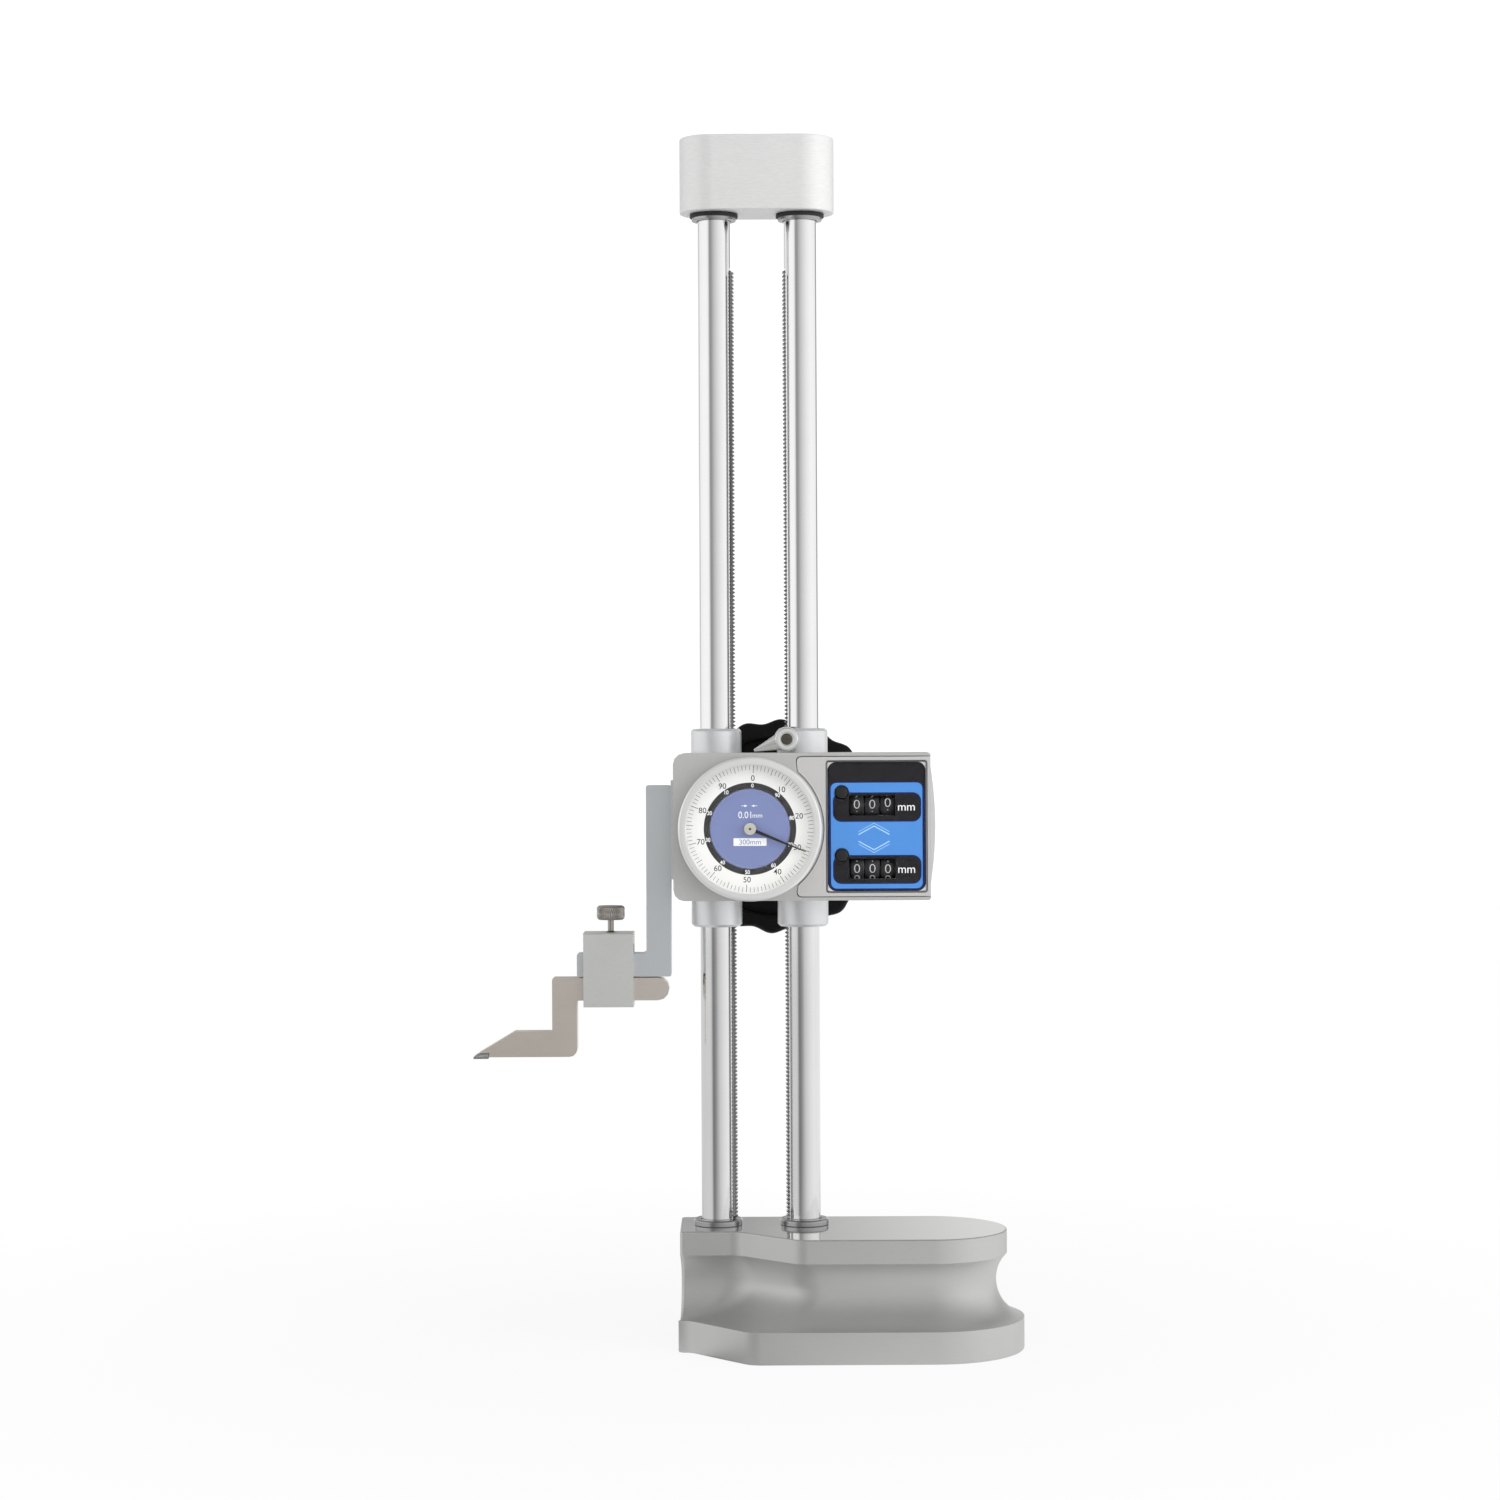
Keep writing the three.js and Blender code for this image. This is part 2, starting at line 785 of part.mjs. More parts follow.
// Where two circles meet, on the right-hand side of the way from the first to the second.
function meetingPlace(first, firstRadius, second, secondRadius) {
  const apart = Math.hypot(second.x - first.x, second.z - first.z);
  const along = (firstRadius ** 2 - secondRadius ** 2 + apart ** 2) / (2 * apart);
  const aside = Math.sqrt(firstRadius ** 2 - along ** 2);
  const turn = bearing(first, second);
  return place(
    first.x + along * Math.cos(turn) - aside * Math.sin(turn),
    first.z + along * Math.sin(turn) + aside * Math.cos(turn));
}

const pointerPlace = place(dialX, 0);
const measuringPlace = place(-columnOffset + measuringPitchLine + measuringRadius, measuringPinionHeight);
const counterReach = (gearModule * (measuringGearTeeth + counterPinionTeeth)) / 2;
const counterTurn = THREE.MathUtils.degToRad(counterGearAngle);
const counterPlace = place(
  measuringPlace.x + counterReach * Math.cos(counterTurn),
  measuringPlace.z + counterReach * Math.sin(counterTurn));
const idlerPlace = meetingPlace(
  counterPlace, (gearModule * (counterGearTeeth + idlerPinionTeeth)) / 2,
  pointerPlace, (fineModule * (idlerGearTeeth + pointerPinionTeeth)) / 2);
const feedPlace = place(columnOffset - feedPitchLine - feedRadius, feedPinionHeight);
const clampPlace = place(clampX, clampHeight);

// A rack's gap lies below each shaft by this much.
const gapBelow = (spot, pitch) => (carriageHeight + spot.z - rackBottom) % pitch;
const measuringAngle = Math.PI + gapBelow(measuringPlace, measuringPitch) / measuringRadius;
const feedAngle = -gapBelow(feedPlace, feedPitch) / feedRadius;
const counterAngle = meshedAngle(
  measuringAngle, measuringGearTeeth, counterPinionTeeth, bearing(measuringPlace, counterPlace));
const idlerAngle = meshedAngle(
  counterAngle, counterGearTeeth, idlerPinionTeeth, bearing(counterPlace, idlerPlace));
const pointerPinionAngle = meshedAngle(
  idlerAngle, idlerGearTeeth, pointerPinionTeeth, bearing(idlerPlace, pointerPlace));
const gearBack = (layer) => plateFront - fitGap - layer * gearStep;
const gearFront = (layer) => gearBack(layer) - gearWidth;

const shaftHole = arborRadius + fitGap;
const movementFront = movementBack - movementThickness;
const arborBack = plateFront + arborSeat;
const plateLeft = coverLeft + coverWall + fitGap;
const plateRight = coverRight - coverWall - fitGap;
const plateUp = coverUp - coverWall - fitGap;
const plateDown = -coverDown + coverWall + fitGap;
const trayBack = plateFront + trayDepth;
const armMiddle = armFront + armDepth / 2;
const armLeft = lugLeft - armBarWidth;
const armScrewSeat = armLeft + fitGap + armScrewHeadDepth;
const unitsX = hundredsX + 2 * drumStep;
const padHole = clampPadRadius + fitGap;

function boss(side) {
  return turned("z", [
    [0, -bossDown],
    [bossRadius - bossEdge, -bossDown],
    [bossRadius, -bossDown + bossEdge],
    [bossRadius, bossUp - bossEdge],
    [bossRadius - bossEdge, bossUp],
    [0, bossUp],
  ], side * columnOffset, 0, roundSides);
}

function flange() {
  const corners = [[coverLeft, coverUp, coverCorner], [coverLeft, -coverDown, coverCorner]];
  for (let step = 0; step <= bulgeSteps; step += 1) {
    const share = (2 * step) / bulgeSteps - 1;
    const height = (coverUp - coverDown) / 2 + (share * (coverUp + coverDown)) / 2;
    corners.push([coverRight + flangeBulge * (1 - share * share), height]);
  }
  return slab("y", rounded(corners), plateBack, flangeBack);
}

function counterPost() {
  const post = box(
    postX - postWidth / 2, postX + postWidth / 2, counterAxisY - postHalfHeight, plateBack,
    upperCounterHeight - postHalfHeight, upperCounterHeight + postHalfHeight);
  const hole = rod("x", shaftHole, postX - postWidth, postX + postWidth, counterAxisY, upperCounterHeight);
  return cut(post, hole);
}

function sliderBody() {
  const middle = (plateFront + plateBack) / 2;
  const plateOutline = roundedBox(plateLeft, plateRight, plateDown, plateUp, coverCorner - coverWall);
  const plate = slab("y", plateOutline, plateFront, (plateBack + flangeBack) / 2);
  const tray = box(
    trayLeft, plateRight + overrun, plateFront - overrun, trayBack,
    plateDown + trayMargin, plateUp - trayMargin);
  const web = box(-webHalfWidth, webHalfWidth, middle, webDepth, -webDown, webUp);
  const lug = box(lugLeft, lugRight, lugFront, lugBack, -lugDown, lugUp);
  const clampBoss = rod("y", clampBossRadius, clampBossFront, 0, clampPlace.x, clampPlace.z, roundSides);
  const solid = join(cut(plate, tray), flange(), web, lug, clampBoss, boss(-1), boss(1), counterPost());
  const pocket = box(
    -pocketHalfWidth, pocketHalfWidth, -pocketHalfDepth, pocketHalfDepth, -pocketDown, pocketUp);
  const holes = [pocket];
  for (const side of [-1, 1]) {
    const x = side * columnOffset;
    holes.push(rod("z", bossBoreRadius, -bossDown - overrun, bossUp + overrun, x, 0, roundSides));
  }
  const deepHole = heavyArborRadius + fitGap;
  const deepEnd = pocketHalfDepth + arborSeat + fitGap;
  holes.push(rod("y", deepHole, plateFront - overrun, deepEnd, measuringPlace.x, measuringPlace.z));
  for (const spot of [counterPlace, idlerPlace]) {
    holes.push(rod("y", shaftHole, plateFront - overrun, arborBack + fitGap, spot.x, spot.z));
  }
  holes.push(rod("y", feedShaftRadius + fitGap, 0, webDepth, feedPlace.x, feedPlace.z));
  holes.push(rod(
    "y", feedBushRadius + fitGap, feedBushFront - fitGap, webDepth + overrun,
    feedPlace.x, feedPlace.z, hubSides));
  holes.push(rod(
    "y", clampScrewRadius + fitGap, clampBossFront - overrun, clampPadFront, clampPlace.x, clampPlace.z));
  holes.push(rod("y", padHole, clampPadFront - fitGap, 0, clampPlace.x, clampPlace.z));
  for (const height of [armScrewUp, armScrewDown]) {
    const end = armScrewSeat + armScrewReach + fitGap;
    holes.push(rod("x", armScrewRadius + fitGap, lugLeft - overrun, end, armMiddle, height));
  }
  return cut(solid, ...holes);
}

function bush(side, bottom) {
  const x = side * columnOffset;
  const top = bottom + bushLength;
  const sleeve = ring("z", bushRadius, columnRadius + fitGap, bottom, top, x, 0);
  const outside = x - side * (bushRadius + overrun);
  return cut(sleeve, box(
    Math.min(x, outside), Math.max(x, outside), -bushSlot, bushSlot, bottom - overrun, top + overrun));
}

function coverOutline(inset) {
  return rounded([
    [coverLeft + inset, -coverDown + inset, coverCorner - inset],
    [coverRight - inset, -coverDown + inset, Math.max(coverSmallCorner - inset, coverLeastCorner)],
    [coverRight - inset, coverUp - inset, Math.max(coverSmallCorner - inset, coverLeastCorner)],
    [coverLeft + inset, coverUp - inset, coverCorner - inset],
  ]);
}

// The counter cover's outline: its left side is an arc round the dial between two shoulders.
function counterOutline(grow) {
  const radius = seamRadius - grow;
  const top = coverUp - counterCoverMargin + grow;
  const bottom = -coverDown + counterCoverMargin - grow;
  const shoulderX = dialX + Math.sqrt(seamRadius ** 2 - seamShoulder ** 2);
  const left = shoulderX - seamStep - grow;
  const right = coverRight - fitGap + grow;
  const shoulder = Math.asin(seamShoulder / seamRadius);
  const corners = [[right, bottom], [right, top], [left, top, counterCoverCorner]];
  for (let step = 0; step <= seamSteps; step += 1) {
    const turn = THREE.MathUtils.lerp(shoulder, -shoulder, step / seamSteps);
    corners.push([dialX + radius * Math.cos(turn), radius * Math.sin(turn)]);
  }
  corners.push([left, bottom, counterCoverCorner]);
  return rounded(corners);
}

function frontCover() {
  const outer = slab("y", coverOutline(0), coverFront, plateBack);
  const inner = slab("y", coverOutline(coverWall), coverFront + coverWall, plateBack + overrun);
  const bossRoom = [-1, 1].map((side) => rod(
    "z", bossRadius + fitGap, -coverDown - overrun, coverUp + overrun, side * columnOffset, 0, roundSides));
  const recess = slab("y", counterOutline(fitGap), coverFront - overrun, counterCoverBack + fitGap);
  const arborHole = rod(
    "y", pointerArborRadius + 2 * fitGap, coverFront - overrun, coverFront + coverWall + overrun, dialX, 0);
  return cut(outer, inner, ...bossRoom, recess, arborHole);
}

const windowRight = coverRight - fitGap - windowRightMargin;
const windowUp = coverUp - counterCoverMargin - windowMargin;
const windowDown = -coverDown + counterCoverMargin + windowMargin;
const windowOutline = (inset) => roundedBox(
  windowLeft + inset, windowRight - inset, windowDown + inset, windowUp - inset, windowCorner);
const buttonHoles = () => [upperCounterHeight, lowerCounterHeight].map((height) => roundPoints(
  buttonX, height + buttonOffset, () => buttonRadius + fitGap, smallSides));
const ledgeFront = counterCoverBack - ledgeThickness;
const panelBack = ledgeFront - fitGap;
const panelFront = panelBack - panelThickness;
const windowBack = panelFront - fitGap;

function counterCover() {
  const plate = slab("y", counterOutline(0), counterCoverFront, counterCoverBack);
  const opening = slab("y", windowOutline(0), counterCoverFront - overrun, ledgeFront);
  const inside = slab("y", windowOutline(ledgeWidth), counterCoverFront, counterCoverBack + overrun);
  return cut(plate, opening, inside);
}

function counterWindow() {
  return slab("y", windowOutline(fitGap), windowBack - windowThickness, windowBack, buttonHoles());
}

function counterPanel() {
  const left = hundredsX - drumWidth / 2 - sightMargin;
  const right = unitsX + drumWidth / 2 + sightMargin;
  const sights = [upperCounterHeight, lowerCounterHeight].map((height) => roundedBox(
    left, right, height - sightHalfHeight, height + sightHalfHeight, sightMargin));
  return slab("y", windowOutline(fitGap), panelFront, panelBack, [...sights, ...buttonHoles()]);
}

function counterFrame() {
  const bottom = lowerCounterHeight - frameHalfHeight;
  const top = upperCounterHeight + frameHalfHeight;
  const front = counterAxisY - arborRadius - frameCheek;
  const plateAhead = trayBack - frameThickness;
  const left = hundredsX - drumWidth / 2 - drumClearance;
  const right = unitsX + drumWidth / 2 + drumClearance;
  const middle = trayBack - frameThickness / 2;
  const solid = join(
    box(frameLeft, right + frameCheek, plateAhead, trayBack, bottom, top),
    box(left - frameCheek, left, front, middle, bottom, top),
    box(right, right + frameCheek, front, middle, bottom, top),
    box(
      transferX - transferLugWidth / 2, transferX + transferLugWidth / 2, front, middle,
      -transferLugDown, transferLugUp));
  const holes = [upperCounterHeight, lowerCounterHeight].map((height) => rod(
    "x", shaftHole, left - 2 * frameCheek, right + 2 * frameCheek, counterAxisY, height));
  const transferHole = rod(
    "z", shaftHole, -transferLugDown - overrun, transferLugUp + overrun, transferX, counterAxisY);
  return cut(solid, ...holes, transferHole);
}

// The outline of a band drawn tight round circles [x, z, radius].
function bandOutline(circles, count) {
  return roundPoints(0, 0, () => 1, count).map((spoke) => {
    const reach = ([x, z, radius]) => x * spoke.x + z * spoke.y + radius;
    const far = circles.reduce((best, next) => (reach(next) > reach(best) ? next : best));
    return new THREE.Vector2(far[0] + far[2] * spoke.x, far[1] + far[2] * spoke.y);
  });
}

function movementPlate() {
  const pillars = [
    [leftPillarX, leftPillarHeight],
    [lowerPillarX, lowerPillarHeight],
    [rightPillarX, rightPillarHeight],
  ];
  const outline = bandOutline(pillars.map(([x, z]) => [x, z, movementEdge]), plateSides);
  const plate = slab("y", outline, movementFront, movementBack);
  const posts = pillars.map(([x, z]) => rod(
    "y", pillarRadius, (movementFront + movementBack) / 2, plateFront, x, z));
  const pointerHole = rod(
    "y", pointerArborRadius + fitGap, movementFront - overrun, movementBack + overrun, dialX, 0);
  const idlerHole = rod(
    "y", shaftHole, movementFront - overrun, movementBack + overrun, idlerPlace.x, idlerPlace.z);
  return cut(join(plate, ...posts), pointerHole, idlerHole);
}

addPiece(carriage, "slider_body", sliderBody(), aluminium());
const lowerBush = -bossDown + fitGap;
const upperBush = clampHeight - clampPadRadius - bushClampGap - bushLength;
addPiece(carriage, "left_lower_bush", bush(-1, lowerBush), brass());
addPiece(carriage, "left_upper_bush", bush(-1, upperBush), brass());
addPiece(carriage, "right_lower_bush", bush(1, lowerBush), brass());
addPiece(carriage, "right_upper_bush", bush(1, upperBush), brass());
addPiece(carriage, "front_cover", frontCover(), greyPlastic());
addPiece(carriage, "counter_cover", counterCover(), greyPlastic());
addPiece(carriage, "counter_window", counterWindow(), finish(0xdfe6ea, 0.05, 0));
addPiece(carriage, "counter_panel", counterPanel(), finish(0x3f78c8, 0.4, 0));
addPiece(carriage, "counter_frame", counterFrame(), steel());
addPiece(carriage, "movement_plate", movementPlate(), brass());

const bezelBack = coverFront - fitGap;
const bezelFront = bezelBack - bezelDepth;
const crystalFront = bezelFront + bezelLipDepth + fitGap;
const pointerFront = pointerBack - pointerThickness;

function bezel() {
  const bore = crystalRadius + fitGap;
  return turned("y", [
    [bore, bezelBack],
    [bezelRadius - bezelEdge, bezelBack],
    [bezelRadius, bezelBack - bezelEdge],
    [bezelRadius, bezelFront + bezelEdge],
    [bezelRadius - bezelEdge, bezelFront],
    [bezelLipRadius, bezelFront],
    [bezelLipRadius, bezelFront + bezelLipDepth],
    [bore, bezelFront + bezelLipDepth],
  ], dialX, 0, discSides);
}

function pointer() {
  const turn = THREE.MathUtils.degToRad(90 - pointerAngle);
  const ahead = new THREE.Vector2(Math.cos(turn), Math.sin(turn));
  const aside = new THREE.Vector2(-ahead.y, ahead.x);
  const point = (along, across) => new THREE.Vector2(dialX, 0)
    .addScaledVector(ahead, along).addScaledVector(aside, across);
  const needle = slab("y", [
    point(0, -pointerRootWidth / 2),
    point(pointerLength, -pointerTipWidth / 2),
    point(pointerLength, pointerTipWidth / 2),
    point(0, pointerRootWidth / 2),
  ], pointerFront, pointerBack);
  const disc = rod("y", pointerRingRadius, pointerFront, pointerBack, dialX, 0);
  const hole = rod(
    "y", pointerArborRadius + fitGap, pointerFront - overrun, pointerBack + overrun, dialX, 0);
  return cut(join(needle, disc), hole);
}

function pointerArbor() {
  const capBack = pointerFront - fitGap;
  const capFront = capBack - pointerCapDepth;
  const shaft = turned("y", [
    [0, gearBack(2) + fitGap],
    [pointerArborRadius, gearBack(2) + fitGap],
    [pointerArborRadius, capBack],
    [pointerCapRadius, capBack],
    [pointerCapRadius, capFront],
    [0, capFront],
  ], dialX, 0, smallSides);
  const pinion = gear(
    pointerPlace, pointerPinionTeeth, fineModule, pointerPinionAngle, gearFront(2), gearBack(2));
  return join(shaft, pinion);
}

function measuringArbor() {
  const back = pocketHalfDepth + arborSeat;
  const { x, z } = measuringPlace;
  const shaft = rod("y", heavyArborRadius, gearFront(0) - fitGap, back, x, z);
  const pinion = rackPinion(measuringPlace, measuringTeeth, measuringPitch, measuringAngle);
  const wheel = gear(
    measuringPlace, measuringGearTeeth, gearModule, measuringAngle, gearFront(0), gearBack(0));
  return join(shaft, pinion, wheel);
}

const bevelReach = (bevelTeeth * gearModule) / 2;
const bevelNear = bevelReach * bevelInnerShare;
const halfTooth = Math.PI / bevelTeeth;

function counterArbor() {
  const { x, z } = counterPlace;
  const shaft = rod("y", arborRadius, counterAxisY + bevelNear, arborBack, x, z);
  const pinion = gear(
    counterPlace, counterPinionTeeth, gearModule, counterAngle, gearFront(0), gearBack(0));
  const wheel = gear(
    counterPlace, counterGearTeeth, gearModule, counterAngle, gearFront(1), gearBack(1));
  const cone = bevel(new THREE.Vector3(x, counterAxisY, z), "y", 1, 0);
  return join(shaft, pinion, wheel, cone);
}

function intermediateArbor() {
  const { x, z } = idlerPlace;
  const shaft = rod("y", arborRadius, movementFront - fitGap, arborBack, x, z);
  const pinion = gear(idlerPlace, idlerPinionTeeth, gearModule, idlerAngle, gearFront(1), gearBack(1));
  const wheel = gear(idlerPlace, idlerGearTeeth, fineModule, idlerAngle, gearFront(2), gearBack(2));
  return join(shaft, pinion, wheel);
}

function drum(x, height, hole) {
  const half = drumWidth / 2;
  return ring("x", drumRadius, hole, x - half, x + half, counterAxisY, height, hubSides);
}

// A counter's shaft with the bevels that drive it; each bevel has a gap at the wheel it meets.
function counterShaft(height, start, bevels) {
  const shaft = rod("x", arborRadius, start, shaftEndX, counterAxisY, height);
  const cones = bevels.map(([x, gapAngle]) => bevel(
    new THREE.Vector3(x, counterAxisY, height), "x", 1, gapAngle + halfTooth));
  return join(shaft, ...cones);
}

function transferShaft() {
  const bottom = lowerCounterHeight + bevelNear;
  const top = upperCounterHeight - bevelNear;
  const shaft = rod("z", arborRadius, bottom, top, transferX, counterAxisY);
  const lowCone = bevel(new THREE.Vector3(transferX, counterAxisY, lowerCounterHeight), "z", 1, 0);
  const highCone = bevel(new THREE.Vector3(transferX, counterAxisY, upperCounterHeight), "z", -1, 0);
  return join(shaft, lowCone, highCone);
}

function feedShaft() {
  const end = feedWheelFront + feedWheelWidth;
  const shaft = rod("y", feedShaftRadius, -rackPinionHalfWidth, end, feedPlace.x, feedPlace.z);
  const pinion = rackPinion(feedPlace, feedTeeth, feedPitch, feedAngle);
  const hole = rod(
    "y", feedScrewRadius + fitGap, end - feedScrewReach - fitGap, end + overrun, feedPlace.x, feedPlace.z);
  return cut(join(shaft, pinion), hole);
}

function feedWheel() {
  const { x, z } = feedPlace;
  const back = feedWheelFront + feedWheelWidth;
  const middle = (feedWheelPeak + feedWheelTrough) / 2;
  const wave = (feedWheelPeak - feedWheelTrough) / 2;
  const phase = THREE.MathUtils.degToRad(feedWheelPhase);
  const radiusAt = (turn) => middle + wave * Math.cos(feedWheelLobes * (turn - phase));
  const rimInside = feedWheelTrough - feedWheelRim;
  const rim = slab(
    "y", roundPoints(x, z, radiusAt, lobeSteps * feedWheelLobes), feedWheelFront, back,
    [roundPoints(x, z, () => rimInside, wheelSides)]);
  const webFront = (feedWheelFront + back - feedWheelWeb) / 2;
  const web = rod("y", rimInside + wave, webFront, webFront + feedWheelWeb, x, z, wheelSides);
  const hub = rod("y", feedWheelHub, feedWheelFront, back, x, z, hubSides);
  const hole = rod("y", feedShaftRadius + fitGap, feedWheelFront - overrun, back + overrun, x, z);
  return cut(join(rim, web, hub), hole);
}

function feedWheelScrew() {
  const seat = feedWheelFront + feedWheelWidth + fitGap;
  return turned("y", [
    [0, seat - feedScrewReach],
    [feedScrewRadius, seat - feedScrewReach],
    [feedScrewRadius, seat],
    [feedScrewHead, seat],
    [feedScrewHead, seat + feedScrewHeadDepth],
    [0, seat + feedScrewHeadDepth],
  ], feedPlace.x, feedPlace.z, smallSides);
}

function rearCover() {
  const outline = roundedBox(rearCoverLeft, rearCoverRight, -rearCoverDown, rearCoverUp, rearCoverCorner);
  const hole = roundPoints(feedPlace.x, feedPlace.z, () => feedBushRadius + fitGap, hubSides);
  return slab("y", outline, webDepth, webDepth + rearCoverThickness, [hole]);
}

function clampLever() {
  const { x, z } = clampPlace;
  const drop = Math.PI + THREE.MathUtils.degToRad(clampLeverDrop);
  const tip = [x + clampLeverLength * Math.cos(drop), z + clampLeverLength * Math.sin(drop), clampLeverTip];
  const lever = slab(
    "y", bandOutline([[x, z, clampLeverRoot], tip], hubSides),
    clampHubFront, clampHubFront + clampLeverThickness);
  const hub = rod("y", clampHubRadius, clampHubFront, clampBossFront - fitGap, x, z, roundSides);
  const headRoom = rod(
    "y", clampScrewHead + fitGap, clampHubFront - overrun, clampHubFront + clampScrewHeadDepth, x, z);
  const hole = rod("y", clampScrewRadius + fitGap, clampHubFront, clampBossFront, x, z);
  return cut(join(lever, hub), headRoom, hole);
}

function clampScrew() {
  const seat = clampHubFront + clampScrewHeadDepth;
  return turned("y", [
    [0, clampHubFront],
    [clampScrewHead, clampHubFront],
    [clampScrewHead, seat - fitGap],
    [clampScrewRadius, seat - fitGap],
    [clampScrewRadius, clampPadFront - fitGap],
    [0, clampPadFront - fitGap],
  ], clampPlace.x, clampPlace.z, smallSides);
}

function clampPad() {
  const pad = rod("y", clampPadRadius, clampPadFront, clampPadBack, clampPlace.x, clampPlace.z);
  const height = clampPadRadius + overrun;
  const hollow = rod(
    "z", columnRadius + fitGap, clampPlace.z - height, clampPlace.z + height, columnOffset, 0, boreSides);
  return cut(pad, hollow);
}

function measuringArm() {
  const footTop = -armDown + armFootHeight;
  const outline = rounded([
    [lugLeft, -armDown, armCorner],
    [lugLeft, armUp, armCorner],
    [armLeft, armUp, armCorner],
    [armLeft, footTop, armFillet],
    [lugLeft - armFootLength, footTop, armCorner],
    [lugLeft - armFootLength, -armDown, armCorner],
  ]);
  const holes = [armScrewUp, armScrewDown].flatMap((height) => [
    rod("x", armScrewHead + fitGap, armLeft - overrun, armScrewSeat, armMiddle, height),
    rod("x", armScrewRadius + fitGap, armLeft, lugLeft + overrun, armMiddle, height),
  ]);
  return cut(slab("y", outline, armFront, armFront + armDepth), ...holes);
}

function armScrew(height) {
  return turned("x", [
    [0, armLeft + fitGap],
    [armScrewHead, armLeft + fitGap],
    [armScrewHead, armScrewSeat],
    [armScrewRadius, armScrewSeat],
    [armScrewRadius, armScrewSeat + armScrewReach],
    [0, armScrewSeat + armScrewReach],
  ], armMiddle, height, smallSides);
}

const scriberTop = -armDown - scriberGap;
const scriberBottom = scriberTop - scriberHeight;
const carbideBottom = -scriberDrop - carbideDrop;
const carbideTop = carbideBottom + carbideHeight;

function scriber() {
  const footTop = -scriberDrop + scriberFootHeight;
  const endRadius = (scriberHeight - scriberEndFlat) / 2;
  const neckRight = scriberLeft + scriberNeck;
  const outline = rounded([
    [neckRight, -scriberDrop, scriberFillet],
    [neckRight, scriberBottom, armCorner],
    [scriberRight, scriberBottom, endRadius],
    [scriberRight, scriberTop, endRadius],
    [scriberLeft, scriberTop, armCorner],
    [scriberLeft, footTop, armCorner],
    [scriberSlantX, footTop],
    [scriberTipX, -scriberDrop + scriberTipHeight],
    [scriberTipX, -scriberDrop],
  ]);
  const rebate = box(
    carbideLeft - overrun, carbideRight + fitGap, armFront - overrun, armFront + armDepth + overrun,
    carbideBottom - overrun, carbideTop + fitGap);
  return cut(slab("y", outline, armFront, armFront + armDepth), rebate);
}

function carbideTip() {
  const nose = carbideBottom + scriberTipHeight;
  return slab("y", [
    new THREE.Vector2(carbideLeft, carbideBottom),
    new THREE.Vector2(carbideRight, carbideBottom),
    new THREE.Vector2(carbideRight, carbideTop),
    new THREE.Vector2(carbideLeft + carbideHeight, carbideTop),
    new THREE.Vector2(carbideLeft, nose),
  ], armFront, armFront + armDepth);
}

function scriberClamp() {
  const front = armFront - fitGap - loopWallSide;
  const back = armFront + armDepth + fitGap + loopWallSide;
  const bottom = scriberBottom - fitGap - loopWallBottom;
  const inside = [
    new THREE.Vector2(front + loopWallSide, bottom + loopWallBottom),
    new THREE.Vector2(back - loopWallSide, bottom + loopWallBottom),
    new THREE.Vector2(back - loopWallSide, loopTop - loopTopWall),
    new THREE.Vector2(front + loopWallSide, loopTop - loopTopWall),
  ];
  const loop = slab(
    "x", roundedBox(front, back, bottom, loopTop, armCorner), loopLeft, loopLeft + loopWidth, [inside]);
  const hole = rod(
    "z", thumbThreadRadius + fitGap, loopTop - loopTopWall - overrun, loopTop + overrun, thumbX, armMiddle);
  return cut(loop, hole);
}

function thumbScrew() {
  const tip = -armDown + armFootHeight + fitGap;
  const headBottom = loopTop + thumbHeadRise;
  const headTop = headBottom + thumbHeadHeight;
  const neckBottom = headBottom - thumbNeckLength;
  return turned("z", [
    [0, tip],
    [thumbThreadRadius, tip],
    [thumbThreadRadius, neckBottom],
    [thumbNeckRadius, neckBottom],
    [thumbNeckRadius, headBottom],
    [thumbHeadRadius, headBottom],
    [thumbHeadRadius, headTop],
    [0, headTop],
  ], thumbX, armMiddle, hubSides);
}

const crystal = rod("y", crystalRadius, crystalFront, crystalFront + crystalDepth, dialX, 0, discSides);
const dialRing = ring(
  "y", crystalRadius, dialRingInner, dialRingFront, dialRingFront + dialRingDepth, dialX, 0, discSides);
const centerDiscBore = pointerArborRadius + 2 * fitGap;
const centerDisc = ring(
  "y", centerDiscRadius, centerDiscBore, coverFront - centerDiscDepth, coverFront, dialX, 0);
addPiece(carriage, "bezel", bezel(), aluminium());
addPiece(carriage, "crystal", crystal, finish(0xe8eef0, 0.03, 0));
addPiece(carriage, "dial_ring", dialRing, finish(0xe9ebe6, 0.5, 0));
addPiece(carriage, "center_disc", centerDisc, finish(0x7c84c4, 0.5, 0));
addPiece(carriage, "pointer", pointer(), blackPlastic());
addPiece(carriage, "pointer_arbor", pointerArbor(), steel());
addPiece(carriage, "measuring_arbor", measuringArbor(), brass());
addPiece(carriage, "counter_arbor", counterArbor(), brass());
addPiece(carriage, "intermediate_arbor", intermediateArbor(), brass());

